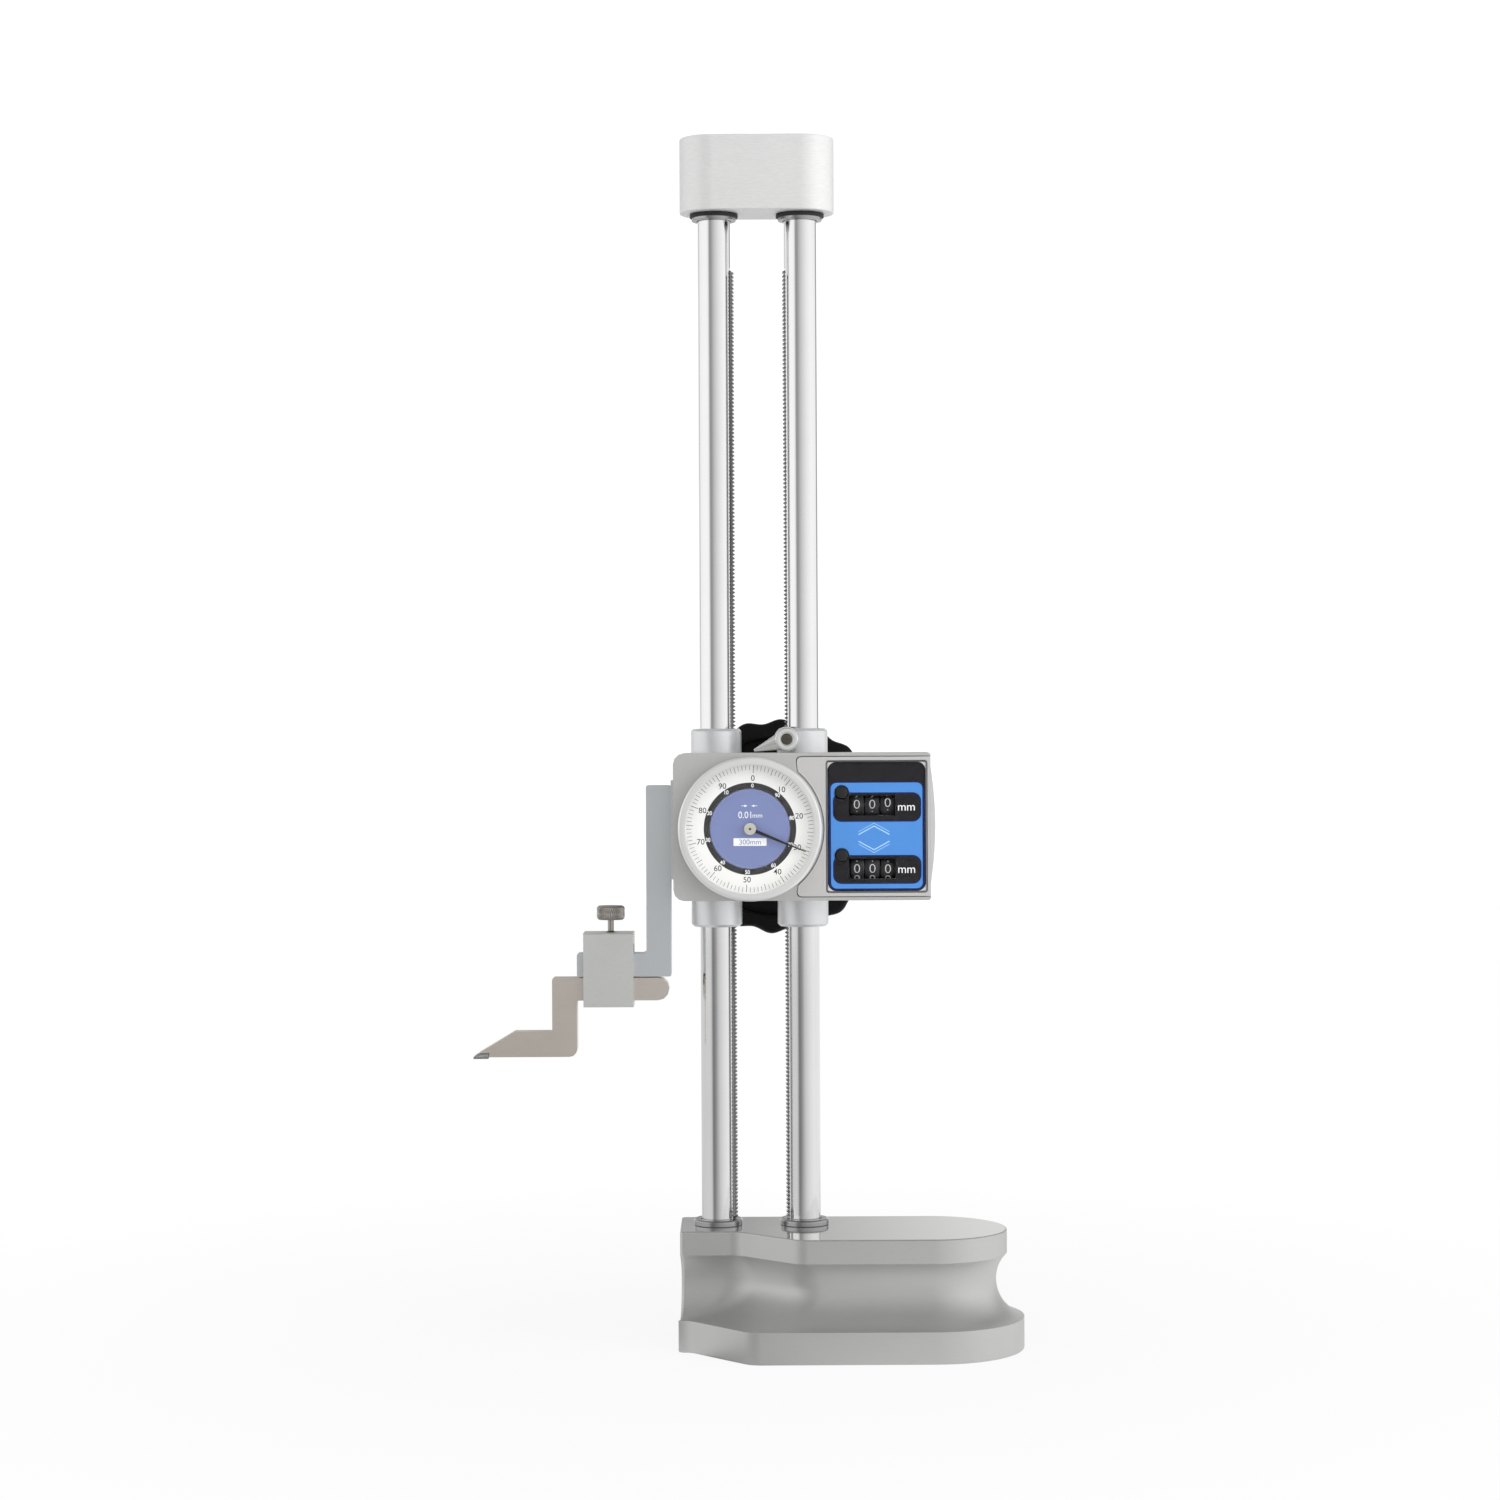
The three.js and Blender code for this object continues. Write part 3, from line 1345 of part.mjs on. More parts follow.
const upperBevels = [[counterPlace.x, 0], [transferX, -Math.PI / 2]];
const upperShaft = counterShaft(upperCounterHeight, counterPlace.x + bevelNear, upperBevels);
const lowerShaft = counterShaft(lowerCounterHeight, transferX + bevelNear, [[transferX, Math.PI / 2]]);
addPiece(carriage, "upper_counter_shaft", upperShaft, steel());
addPiece(carriage, "lower_counter_shaft", lowerShaft, steel());
addPiece(carriage, "transfer_shaft", transferShaft(), steel());
for (const [name, height] of [["upper", upperCounterHeight], ["lower", lowerCounterHeight]]) {
  for (const [i, digit] of ["hundreds", "tens", "units"].entries()) {
    const x = hundredsX + i * drumStep;
    addPiece(carriage, `${name}_${digit}_drum`, drum(x, height, shaftHole), blackPlastic());
  }
  const button = rod(
    "y", buttonRadius, buttonFront, buttonFront + buttonLength, buttonX, height + buttonOffset);
  addPiece(carriage, `${name}_reset_button`, button, blackPlastic());
}

const feedBush = ring(
  "y", feedBushRadius, feedShaftRadius + fitGap, feedBushFront, feedBushFront + feedBushLength,
  feedPlace.x, feedPlace.z);
addPiece(carriage, "feed_shaft", feedShaft(), steel());
addPiece(carriage, "feed_wheel", feedWheel(), blackPlastic());
addPiece(carriage, "feed_wheel_screw", feedWheelScrew(), darkSteel());
addPiece(carriage, "feed_bush", feedBush, brass());
addPiece(carriage, "rear_cover", rearCover(), aluminium());
addPiece(carriage, "clamp_lever", clampLever(), aluminium());
addPiece(carriage, "clamp_screw", clampScrew(), darkSteel());
addPiece(carriage, "clamp_pad", clampPad(), brass());
addPiece(carriage, "measuring_arm", measuringArm(), aluminium());
addPiece(carriage, "upper_arm_screw", armScrew(armScrewUp), darkSteel());
addPiece(carriage, "lower_arm_screw", armScrew(armScrewDown), darkSteel());
addPiece(carriage, "scriber", scriber(), steel());
addPiece(carriage, "carbide_tip", carbideTip(), darkSteel());
addPiece(carriage, "scriber_clamp", scriberClamp(), steel());
addPiece(carriage, "thumb_screw", thumbScrew(), steel());

const group = new THREE.Group();
group.add(stand, carriage);
export default group;
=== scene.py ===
import math

import bmesh
import bpy
from mathutils import Matrix, Vector
from mathutils.geometry import tessellate_polygon


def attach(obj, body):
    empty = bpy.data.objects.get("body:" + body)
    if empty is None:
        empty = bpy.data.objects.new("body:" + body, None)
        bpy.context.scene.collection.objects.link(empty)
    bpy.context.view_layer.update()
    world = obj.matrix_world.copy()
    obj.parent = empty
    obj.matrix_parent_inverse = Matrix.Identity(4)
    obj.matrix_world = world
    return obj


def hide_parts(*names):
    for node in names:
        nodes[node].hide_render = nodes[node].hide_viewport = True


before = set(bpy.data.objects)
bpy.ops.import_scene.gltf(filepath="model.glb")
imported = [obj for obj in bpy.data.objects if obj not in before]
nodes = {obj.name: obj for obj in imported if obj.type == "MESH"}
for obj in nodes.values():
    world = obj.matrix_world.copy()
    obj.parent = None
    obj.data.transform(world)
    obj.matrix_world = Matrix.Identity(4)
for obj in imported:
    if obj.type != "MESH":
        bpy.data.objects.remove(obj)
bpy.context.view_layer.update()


# Base casting: one iron casting with a ground top and foot and a hand groove all round
# its waist, so that it can be lifted and moved over the surface plate. Machined all over
# and satin nickel plated, with a top so finely ground that it mirrors the columns.
BASE_TOP = 0.0465
BASE_END_X = 0.0662
BASE_END_Y = -0.011
TOP_LEVEL = {"left": -0.0318, "nose": -0.0191, "nose_right": -0.0092, "slant": 0.0144, "radius": 0.0298}
FOOT_LEVEL = {"left": -0.0318, "nose": -0.0214, "nose_right": -0.0285, "slant": -0.0045, "radius": 0.0365}
WAIST_LEVEL = {"left": -0.0313, "nose": -0.015, "nose_right": -0.008, "slant": 0.016, "radius": 0.0255}
WAIST_HEIGHT = 0.027
GROOVE_RADIUS = 0.015
FOOT_EDGE = 0.0124
FLANGE_EDGE = 0.0373
BASE_SMALL_CORNER = 0.0015
BASE_SLANT_CORNER = 0.009
WAIST_SLANT_CORNER = 0.02
BASE_RIM = 0.0006
BASE_CORNER_STEPS = 8
BASE_END_STEPS = 28
GROOVE_STEPS = 12
SATIN_NICKEL = (0.63, 0.63, 0.62, 1)
GROUND_NICKEL = (0.62, 0.62, 0.61, 1)
SATIN_LINES = (350, 350, 3800)
FLAT_ANGLE = math.radians(32)
QUARTER = math.pi / 2
TINY = 1e-7
WELD = 1e-6
MITRE_LEAST = 0.3
GROUND_LEVEL = 0.999
EDGE_STEPS = 3
CORNER_STEPS = 6
ROUND_SIDES = 96
GRAIN_DETAIL = 4
SMUDGE_SCALE = 55
SMUDGE_DETAIL = 5
SMUDGE_ROUGHNESS = 0.6
NOISE_MIDDLE = 0.5
EVEN = (1400, 1400, 1400)


def mix(start, end, share):
    return start + (end - start) * share


def rounded(corners, steps=CORNER_STEPS):
    """An outline through corners (across, up, radius, steps), each rounded by an arc."""
    points = []
    for i, corner in enumerate(corners):
        here = Vector(corner[:2])
        radius = corner[2] if len(corner) > 2 else 0
        count = corner[3] if len(corner) > 3 else steps
        if radius == 0:
            points.append(here)
            continue
        back = (Vector(corners[i - 1][:2]) - here).normalized()
        ahead = (Vector(corners[(i + 1) % len(corners)][:2]) - here).normalized()
        half = math.acos(max(-1, min(1, back.dot(ahead)))) / 2
        centre = here + (back + ahead).normalized() * radius / math.sin(half)
        spoke = here + back * radius / math.tan(half) - centre
        turn = math.copysign(math.pi - 2 * half, -back.cross(ahead))
        for step in range(count + 1):
            point = centre + Matrix.Rotation(turn * step / count, 2) @ spoke
            if not points or (points[-1] - point).length > TINY:
                points.append(point)
    return points


def inset(loop, distance):
    """Moves an outline by a distance to the left of its travel, which is where its material lies."""
    moved = []
    for i, point in enumerate(loop):
        before = (point - loop[i - 1]).normalized()
        after = (loop[(i + 1) % len(loop)] - point).normalized()
        side = Vector((-before.y - after.y, before.x + after.x)).normalized()
        share = max(MITRE_LEAST, side.dot(Vector((-after.y, after.x))))
        moved.append(point + side * distance / share)
    return moved


def meshed(work):
    """The mesh of what was built up in bmesh."""
    made = bpy.data.meshes.new("made")
    work.to_mesh(made)
    work.free()
    return made


def stacked(levels, axis="z"):
    """Closed mesh through outlines along an axis: levels are (outline, place)."""
    place_on = {
        "z": lambda point, along: (point.x, point.y, along),
        "y": lambda point, along: (point.x, along, point.y),
    }[axis]
    work = bmesh.new()
    rows = [[work.verts.new(place_on(point, along)) for point in outline] for outline, along in levels]
    for low, high in zip(rows, rows[1:]):
        for i in range(len(low)):
            after = (i + 1) % len(low)
            work.faces.new((low[i], low[after], high[after], high[i]))
    for end in (0, -1):
        for triangle in tessellate_polygon([[point.to_3d() for point in levels[end][0]]]):
            corners = [rows[end][i] for i in triangle]
            if work.faces.get(corners) is None:
                work.faces.new(corners)
    bmesh.ops.recalc_face_normals(work, faces=work.faces)
    return meshed(work)


def rim_levels(low, high, edge):
    """Insets and places of a slab whose two rims are rounded by an edge radius."""
    if edge == 0:
        return [(0, low), (0, high)]
    turns = [QUARTER * step / EDGE_STEPS for step in range(EDGE_STEPS + 1)]
    bottom = [(edge * (1 - math.sin(turn)), low + edge * (1 - math.cos(turn))) for turn in turns]
    return bottom + [(share, low + high - along) for share, along in reversed(bottom)]


def slab(outline, low, high, edge=0, axis="z"):
    """An outline drawn out from one place on an axis to another."""
    return stacked([(inset(outline, share), along) for share, along in rim_levels(low, high, edge)], axis)


def turned(profile, sides=ROUND_SIDES, axis="z", across=0, up=0, ripple=None):
    """Closed turned mesh: profile points are (radius, place along the axis)."""
    work = bmesh.new()
    rows = []
    for radius, along in profile:
        if radius < TINY:
            rows.append([work.verts.new((0, 0, along))])
            continue
        row = []
        for i in range(sides):
            angle = 2 * math.pi * i / sides
            reach = radius + (ripple(angle, radius, along) if ripple else 0)
            row.append(work.verts.new((reach * math.cos(angle), reach * math.sin(angle), along)))
        rows.append(row)
    if profile[0][0] >= TINY:
        rows.append(rows[0])
    for low, high in zip(rows, rows[1:]):
        for i in range(sides):
            after = (i + 1) % sides
            four = [low[i % len(low)], low[after % len(low)], high[after % len(high)], high[i % len(high)]]
            face = [corner for k, corner in enumerate(four) if corner not in four[:k]]
            if len(face) > 2:
                work.faces.new(face)
    turn = {
        "z": Matrix.Identity(3),
        "y": Matrix(((1, 0, 0), (0, 0, 1), (0, 1, 0))),
        "x": Matrix(((0, 0, 1), (1, 0, 0), (0, 1, 0))),
    }[axis]
    shift = {"z": Vector((across, up, 0)), "y": Vector((across, 0, up)), "x": Vector((0, across, up))}[axis]
    for corner in work.verts:
        corner.co = turn @ corner.co + shift
    bmesh.ops.recalc_face_normals(work, faces=work.faces)
    return meshed(work)


def placed(name, data):
    """A new object in the scene."""
    made = bpy.data.objects.new(name, data)
    bpy.context.scene.collection.objects.link(made)
    return made


def settled(thing):
    """The mesh that an object has once its modifiers or its letters are worked out."""
    bpy.context.view_layer.update()
    return bpy.data.meshes.new_from_object(thing.evaluated_get(bpy.context.evaluated_depsgraph_get()))


def carved(mesh, *cutters, way="DIFFERENCE"):
    """The mesh less the cutters, or joined with them, all closed."""
    whole = placed("whole", mesh)
    tools = [placed("cutter", cutter) for cutter in cutters]
    for tool in tools:
        step = whole.modifiers.new("cut", "BOOLEAN")
        step.operation = way
        step.solver = "EXACT"
        step.object = tool
    made = settled(whole)
    for scrap in (whole, *tools):
        bpy.data.objects.remove(scrap)
    work = bmesh.new()
    work.from_mesh(made)
    bmesh.ops.remove_doubles(work, verts=work.verts, dist=WELD)
    bmesh.ops.dissolve_degenerate(work, edges=work.edges, dist=WELD)
    work.to_mesh(made)
    work.free()
    return made


def link(tree, kind, values=None, **settings):
    """A shader node with its settings and its sockets' values or links."""
    made = tree.nodes.new(kind)
    for name, value in settings.items():
        setattr(made, name, value)
    for name, value in (values or {}).items():
        if isinstance(value, bpy.types.NodeSocket):
            tree.links.new(value, made.inputs[name])
        else:
            made.inputs[name].default_value = value
    return made


def worked(tree, operation, *values, **settings):
    """The result of one sum on sockets and numbers."""
    return link(tree, "ShaderNodeMath", dict(enumerate(values)), operation=operation, **settings).outputs[0]


def scaled(tree, colour, share):
    """A colour made lighter or darker."""
    return link(tree, "ShaderNodeVectorMath", {0: colour, "Scale": share}, operation="SCALE").outputs[0]


def node_group(name, given, made):
    """A node group with the sockets that it is given and that it makes, and its inputs."""
    group = bpy.data.node_groups.new(name, "ShaderNodeTree")
    for way, sockets in (("INPUT", given), ("OUTPUT", made)):
        for socket, kind in sockets.items():
            group.interface.new_socket(socket, in_out=way, socket_type=kind)
    return group, link(group, "NodeGroupInput").outputs


def grain_group():
    """Fine grain and faint smudges over a surface, by the piece's own place."""
    group, given = node_group("surface grain", {
        "Colour": "NodeSocketColor", "Stretch": "NodeSocketVector", "Roughness": "NodeSocketFloat",
        "Grain": "NodeSocketFloat", "Smudge": "NodeSocketFloat", "Depth": "NodeSocketFloat",
    }, {"Colour": "NodeSocketColor", "Roughness": "NodeSocketFloat", "Normal": "NodeSocketVector"})
    place = link(group, "ShaderNodeTexCoord").outputs["Object"]
    along = link(group, "ShaderNodeVectorMath", {0: place, 1: given["Stretch"]}, operation="MULTIPLY")
    grain = link(group, "ShaderNodeTexNoise", {
        "Vector": along.outputs[0], "Scale": 1, "Detail": GRAIN_DETAIL}).outputs["Fac"]
    smudge = link(group, "ShaderNodeTexNoise", {
        "Vector": place, "Scale": SMUDGE_SCALE, "Detail": SMUDGE_DETAIL, "Roughness": SMUDGE_ROUGHNESS})
    centred_grain = worked(group, "SUBTRACT", grain, NOISE_MIDDLE)
    centred_smudge = worked(group, "SUBTRACT", smudge.outputs["Fac"], NOISE_MIDDLE)
    grain_tone = worked(group, "MULTIPLY_ADD", centred_grain, given["Grain"], 1)
    tone = worked(group, "MULTIPLY_ADD", centred_smudge, given["Smudge"], grain_tone)
    sheen = worked(group, "MULTIPLY_ADD", centred_smudge, given["Smudge"], given["Roughness"])
    rough = worked(group, "MULTIPLY_ADD", centred_grain, given["Grain"], sheen, use_clamp=True)
    bump = link(group, "ShaderNodeBump", {"Height": grain, "Distance": given["Depth"]})
    link(group, "NodeGroupOutput", {
        "Colour": scaled(group, given["Colour"], tone), "Roughness": rough, "Normal": bump.outputs[0]})
    return group


SURFACE_GRAIN = grain_group()


def principled(name, **plain):
    """A new material and its shader, whose own sockets hold what is the same all over."""
    material = bpy.data.materials.new(name)
    material.use_nodes = True
    shader = material.node_tree.nodes["Principled BSDF"]
    for socket, value in plain.items():
        shader.inputs[socket.replace("_", " ")].default_value = value
    return material, shader


def finish(name, colour, rough, metal=0, stretch=EVEN, grain=0.1, smudge=0.1, depth=0.00001, **plain):
    """A material with the grain and smudges of its surface."""
    material, shader = principled(name, Metallic=metal, **plain)
    tree = material.node_tree
    surface = link(tree, "ShaderNodeGroup", node_tree=SURFACE_GRAIN)
    values = {
        "Colour": colour, "Stretch": stretch, "Roughness": rough, "Grain": grain, "Smudge": smudge,
        "Depth": depth}
    for socket, value in values.items():
        surface.inputs[socket].default_value = value
    for given, taken in (("Colour", "Base Color"), ("Roughness", "Roughness"), ("Normal", "Normal")):
        tree.links.new(surface.outputs[given], shader.inputs[taken])
    return material


def flatten(made):
    """Keeps flat faces flat in shading, so that only their rounded edges turn the light."""
    flats = made.modifiers.new("flats", "WEIGHTED_NORMAL")
    flats.keep_sharp = True


def piece(name, mesh, material, slot, body, *stands_for):
    """Puts a mesh in the scene as a named piece that rides on a body and stands for CAD nodes."""
    mesh.name = name
    mesh.shade_smooth()
    mesh.set_sharp_from_angle(angle=FLAT_ANGLE)
    mesh.materials.clear()
    mesh.materials.append(material)
    made = placed(name, mesh)
    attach(made, body)
    if stands_for:
        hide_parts(*stands_for)
    flatten(made)
    return made


def base_outline(level, slant_corner):
    """The base seen from above: a straight left end, a slanted front and a round right end."""
    right = BASE_END_X + level["radius"]
    front = BASE_END_Y - level["radius"]
    back = BASE_END_Y + level["radius"]
    return rounded([
        (level["left"], back, BASE_SMALL_CORNER),
        (level["left"], level["nose"], BASE_SMALL_CORNER),
        (level["nose_right"], level["nose"], slant_corner),
        (level["slant"], front, slant_corner),
        (right, front, level["radius"], BASE_END_STEPS),
        (right, back, level["radius"], BASE_END_STEPS),
    ], BASE_CORNER_STEPS)


def groove_level(edge, edge_turn, side, share):
    """The base's outline and height at a share of the hand groove's arc, from its middle to an edge."""
    blend = (1 - math.cos(edge_turn * share)) / (1 - math.cos(edge_turn))
    level = {key: mix(WAIST_LEVEL[key], edge[key], blend) for key in edge}
    height = WAIST_HEIGHT + side * GROOVE_RADIUS * math.sin(edge_turn * share)
    return base_outline(level, mix(WAIST_SLANT_CORNER, BASE_SLANT_CORNER, blend)), height


foot_turn = math.asin((WAIST_HEIGHT - FOOT_EDGE) / GROOVE_RADIUS)
flange_turn = math.asin((FLANGE_EDGE - WAIST_HEIGHT) / GROOVE_RADIUS)
foot_outline = base_outline(FOOT_LEVEL, BASE_SLANT_CORNER)
top_outline = base_outline(TOP_LEVEL, BASE_SLANT_CORNER)
base_levels = [
    (inset(foot_outline, share), along)
    for share, along in rim_levels(0, 2 * BASE_RIM, BASE_RIM)[:EDGE_STEPS + 1]]
for step in range(GROOVE_STEPS, 0, -1):
    base_levels.append(groove_level(FOOT_LEVEL, foot_turn, -1, step / GROOVE_STEPS))
for step in range(GROOVE_STEPS + 1):
    base_levels.append(groove_level(TOP_LEVEL, flange_turn, 1, step / GROOVE_STEPS))
base_levels += [
    (inset(top_outline, share), along)
    for share, along in rim_levels(BASE_TOP - 2 * BASE_RIM, BASE_TOP, BASE_RIM)[EDGE_STEPS + 1:]]
base_mesh = stacked(base_levels)

COLUMN_X = 0.017
COLUMN_RADIUS = 0.0065
COLUMN_SEAT = 0.0145
BOLT_HEAD_HOLE = 0.0053
BOLT_SHANK_HOLE = 0.0033
BOLT_HEAD_FLOOR = 0.008
HOLE_SIDES = 64
PAST = 0.001
FIT = 0.0003


def bore(steps, across):
    """A cutter for a stepped hole: the radius and low end of each step, and last 0 and the high end."""
    profile = [(0, steps[0][1])]
    for (radius, low), (_, high) in zip(steps, steps[1:]):
        profile += [(radius, low), (radius, high)]
    return turned([*profile, steps[-1]], HOLE_SIDES, across=across)


base_holes = [
    bore([
        (BOLT_HEAD_HOLE, -PAST), (BOLT_SHANK_HOLE, BOLT_HEAD_FLOOR), (COLUMN_RADIUS + FIT, COLUMN_SEAT),
        (0, BASE_TOP + PAST)], side * COLUMN_X)
    for side in (-1, 1)]
RELIEF_LEFT = 0.04
RELIEF_REACH = 0.0275
RELIEF_DEPTH = 0.002
relief_outline = rounded([
    (RELIEF_LEFT, BASE_END_Y - RELIEF_REACH, BASE_SMALL_CORNER),
    (BASE_END_X + RELIEF_REACH, BASE_END_Y - RELIEF_REACH, RELIEF_REACH, BASE_END_STEPS),
    (BASE_END_X + RELIEF_REACH, BASE_END_Y + RELIEF_REACH, RELIEF_REACH, BASE_END_STEPS),
    (RELIEF_LEFT, BASE_END_Y + RELIEF_REACH, BASE_SMALL_CORNER)])
base_mesh = carved(base_mesh, *base_holes, slab(relief_outline, -PAST, RELIEF_DEPTH))
satin_nickel = finish(
    "satin_nickel", SATIN_NICKEL, rough=0.46, metal=0.85, stretch=SATIN_LINES, grain=0.12, smudge=0.08,
    depth=0.00001)
ground_nickel = finish(
    "ground_nickel", GROUND_NICKEL, rough=0.08, metal=0.85, grain=0.06, smudge=0.06, depth=0)
plated_base = piece("plated_base", base_mesh, satin_nickel, "base_paint", "base", "base_casting")
plated_base.data.materials.append(ground_nickel)
for face in plated_base.data.polygons:
    if face.normal.z > GROUND_LEVEL and face.center.z > BASE_TOP - BASE_RIM / 2:
        face.material_index = 1


# Columns: two hard-chromed round steel bars, centreless ground, pressed into the base
# and the bridge and held by a bolt at each end. A groove on the inner side of each
# holds its rack.
COLUMN_TOP = 0.4655
COLUMN_CHAMFER = 0.0006
COLUMN_SIDES = 128
GROOVE_FLOOR = 0.005
GROOVE_HALF_WIDTH = 0.0027
GROOVE_LOW = 0.049
GROOVE_HIGH = 0.4243
BOLT_HOLE_DEPTH = 0.0113
CHROME = (0.82, 0.82, 0.82, 1)
GRINDING_LINES = (300, 300, 9000)
SIDES = ((-1, "left"), (1, "right"))


def plain_box(left, right, low, high, radius=0, steps=CORNER_STEPS):
    """The outline of an upright rectangle with equal corners."""
    return rounded([
        (left, low, radius), (right, low, radius), (right, high, radius), (left, high, radius)], steps)


chrome = finish(
    "hard_chrome", CHROME, rough=0.1, metal=1, stretch=GRINDING_LINES, grain=0.08, smudge=0.08,
    depth=0.000002)
for side, name in SIDES:
    column_foot, column_head = [[
        (0, end + way * BOLT_HOLE_DEPTH), (BOLT_SHANK_HOLE, end + way * BOLT_HOLE_DEPTH),
        (BOLT_SHANK_HOLE, end), (COLUMN_RADIUS - COLUMN_CHAMFER, end),
        (COLUMN_RADIUS, end + way * COLUMN_CHAMFER)] for end, way in ((COLUMN_SEAT, 1), (COLUMN_TOP, -1))]
    column = turned([*column_foot, *reversed(column_head)], COLUMN_SIDES, across=side * COLUMN_X)
    floor_x = side * (COLUMN_X - GROOVE_FLOOR)
    open_x = side * (COLUMN_X - COLUMN_RADIUS - PAST)
    groove = slab(
        plain_box(*sorted((floor_x, open_x)), -GROOVE_HALF_WIDTH, GROOVE_HALF_WIDTH), GROOVE_LOW,
        GROOVE_HIGH)
    piece(f"{name}_chromed_column", carved(column, groove), chrome, "chrome", "base", f"{name}_column")


# Racks: two straight bars of ground steel, milled with teeth and screwed into the
# columns' grooves. The left one turns the dial and counters, the right one carries
# the feed wheel's pinion.
RACK_STEEL = (0.42, 0.42, 0.43, 1)
DRAWN_LINES = (900, 900, 200)
EDGE_SEGMENTS = 2


def dressed(material, slot, *names, edge=0):
    """Gives CAD pieces their finish, and rounds their sharp edges where they have an edge width."""
    for made in [nodes[name] for name in names]:
        made.data.materials.clear()
        made.data.materials.append(material)
        weld = made.modifiers.new("weld", "WELD")
        weld.merge_threshold = TINY
        if edge:
            bevel = made.modifiers.new("edge", "BEVEL")
            bevel.width = edge
            bevel.segments = EDGE_SEGMENTS
            bevel.limit_method = "ANGLE"
            bevel.angle_limit = FLAT_ANGLE
            bevel.harden_normals = False
        made.data.shade_smooth()
        made.data.set_sharp_from_angle(angle=FLAT_ANGLE)
        flatten(made)


rack_steel = finish(
    "rack_steel", RACK_STEEL, rough=0.34, metal=1, stretch=DRAWN_LINES, grain=0.16, smudge=0.1)
dressed(rack_steel, "steel", "measuring_rack", "feed_rack")


# Base collars: turned steel rings with a rounded upper rim. They are pressed on the columns,
# close the holes in the base and stop the carriage at the bottom of its travel.
COLLAR_RADIUS = 0.0097
COLLAR_LOW = 0.0465
COLLAR_HIGH = 0.049
COLLAR_EDGE = 0.0009
COLLAR_SMALL_EDGE = 0.0003
TURNED_STEEL = (0.4, 0.4, 0.41, 1)
TURNING_LINES = (500, 500, 6000)
RING_STEPS = 5


def ring(inner, outer, low, high, edges=(0, 0, 0), **place):
    """A turned ring or disc. Edges round its outer low, outer high and inner high rim."""
    return turned(rounded([
        (inner, low), (outer, low, edges[0]), (outer, high, edges[1]), (inner, high, edges[2])],
        RING_STEPS), **place)


turned_steel = finish(
    "turned_steel", TURNED_STEEL, rough=0.22, metal=1, stretch=TURNING_LINES, grain=0.12, smudge=0.08,
    depth=0.000004)
for side, name in SIDES:
    collar = ring(
        COLUMN_RADIUS + FIT, COLLAR_RADIUS, COLLAR_LOW, COLLAR_HIGH,
        (COLLAR_SMALL_EDGE, COLLAR_EDGE, COLLAR_SMALL_EDGE), across=side * COLUMN_X)
    piece(f"{name}_turned_collar", collar, turned_steel, "steel", "base", f"{name}_base_collar")


# Top bumpers: black rubber discs under the bridge, which stop the carriage softly at the
# top of its travel, each on a thin turned washer that takes the knock.
BUMPER_RADIUS = 0.0095
WASHER_RADIUS = 0.00875
BUMPER_LOW = 0.4427
BUMPER_STEP = 0.4439
BUMPER_HIGH = 0.4455
BUMPER_EDGE = 0.0003
RUBBER = (0.018, 0.018, 0.019, 1)

rubber = finish("black_rubber", RUBBER, rough=0.6, grain=0.2, smudge=0.15, depth=0.00003)
for side, name in SIDES:
    bumper = ring(
        COLUMN_RADIUS + FIT, BUMPER_RADIUS, BUMPER_STEP, BUMPER_HIGH, (BUMPER_EDGE, BUMPER_EDGE, 0),
        across=side * COLUMN_X)
    piece(f"{name}_rubber_bumper", bumper, rubber, "black_plastic", "base", f"{name}_top_bumper")
    washer = ring(
        COLUMN_RADIUS + FIT, WASHER_RADIUS, BUMPER_LOW, BUMPER_STEP, (BUMPER_EDGE, 0, 0),
        across=side * COLUMN_X)
    piece(f"{name}_bumper_washer", washer, turned_steel, "steel", "base")


# Top bridge: a block of aluminium with round ends that ties the two columns together,
# milled all round, satin finished, and bolted down through two counterbores.
BRIDGE_LOW = 0.4455
BRIDGE_HIGH = 0.475
BRIDGE_RADIUS = 0.0135
BRIDGE_REACH = 0.0305
BRIDGE_EDGE = 0.0005
BRIDGE_SEAT = 0.469
BRIDGE_END_STEPS = 24
SATIN_ALUMINIUM = (0.88, 0.88, 0.875, 1)

satin_aluminium = finish(
    "satin_aluminium", SATIN_ALUMINIUM, rough=0.5, metal=0.5, stretch=SATIN_LINES, grain=0.22,
    smudge=0.06, depth=0.00001)
bridge_outline = plain_box(
    -BRIDGE_REACH, BRIDGE_REACH, -BRIDGE_RADIUS, BRIDGE_RADIUS, BRIDGE_RADIUS, BRIDGE_END_STEPS)
bridge_mesh = slab(bridge_outline, BRIDGE_LOW, BRIDGE_HIGH, BRIDGE_EDGE)
bridge_holes = [
    bore([
        (COLUMN_RADIUS + FIT, BRIDGE_LOW - PAST), (BOLT_SHANK_HOLE, COLUMN_TOP),
        (BOLT_HEAD_HOLE, BRIDGE_SEAT), (0, BRIDGE_HIGH + PAST)], side * COLUMN_X)
    for side in (-1, 1)]
bridge_mesh = carved(bridge_mesh, *bridge_holes)
piece("milled_bridge", bridge_mesh, satin_aluminium, "aluminium", "base", "top_bridge")


# Column screws: blackened steel socket-head cap screws, two down through the bridge and
# two up through the base, each with a hexagonal socket for its key.
SCREW_HEAD_RADIUS = 0.005
SCREW_SHANK_RADIUS = 0.003
SCREW_HEAD_HEIGHT = 0.0055
SCREW_EDGE = 0.0004
SOCKET_RADIUS = 0.0023
SOCKET_DEPTH = 0.003
SOCKET_SIDES = 6
BRIDGE_SCREW_TIP = 0.4545
BASE_BOLT_TIP = 0.0255
BLACK_STEEL = (0.06, 0.06, 0.065, 1)

black_steel = finish("blackened_steel", BLACK_STEEL, rough=0.34, metal=0.9, grain=0.15, smudge=0.15)


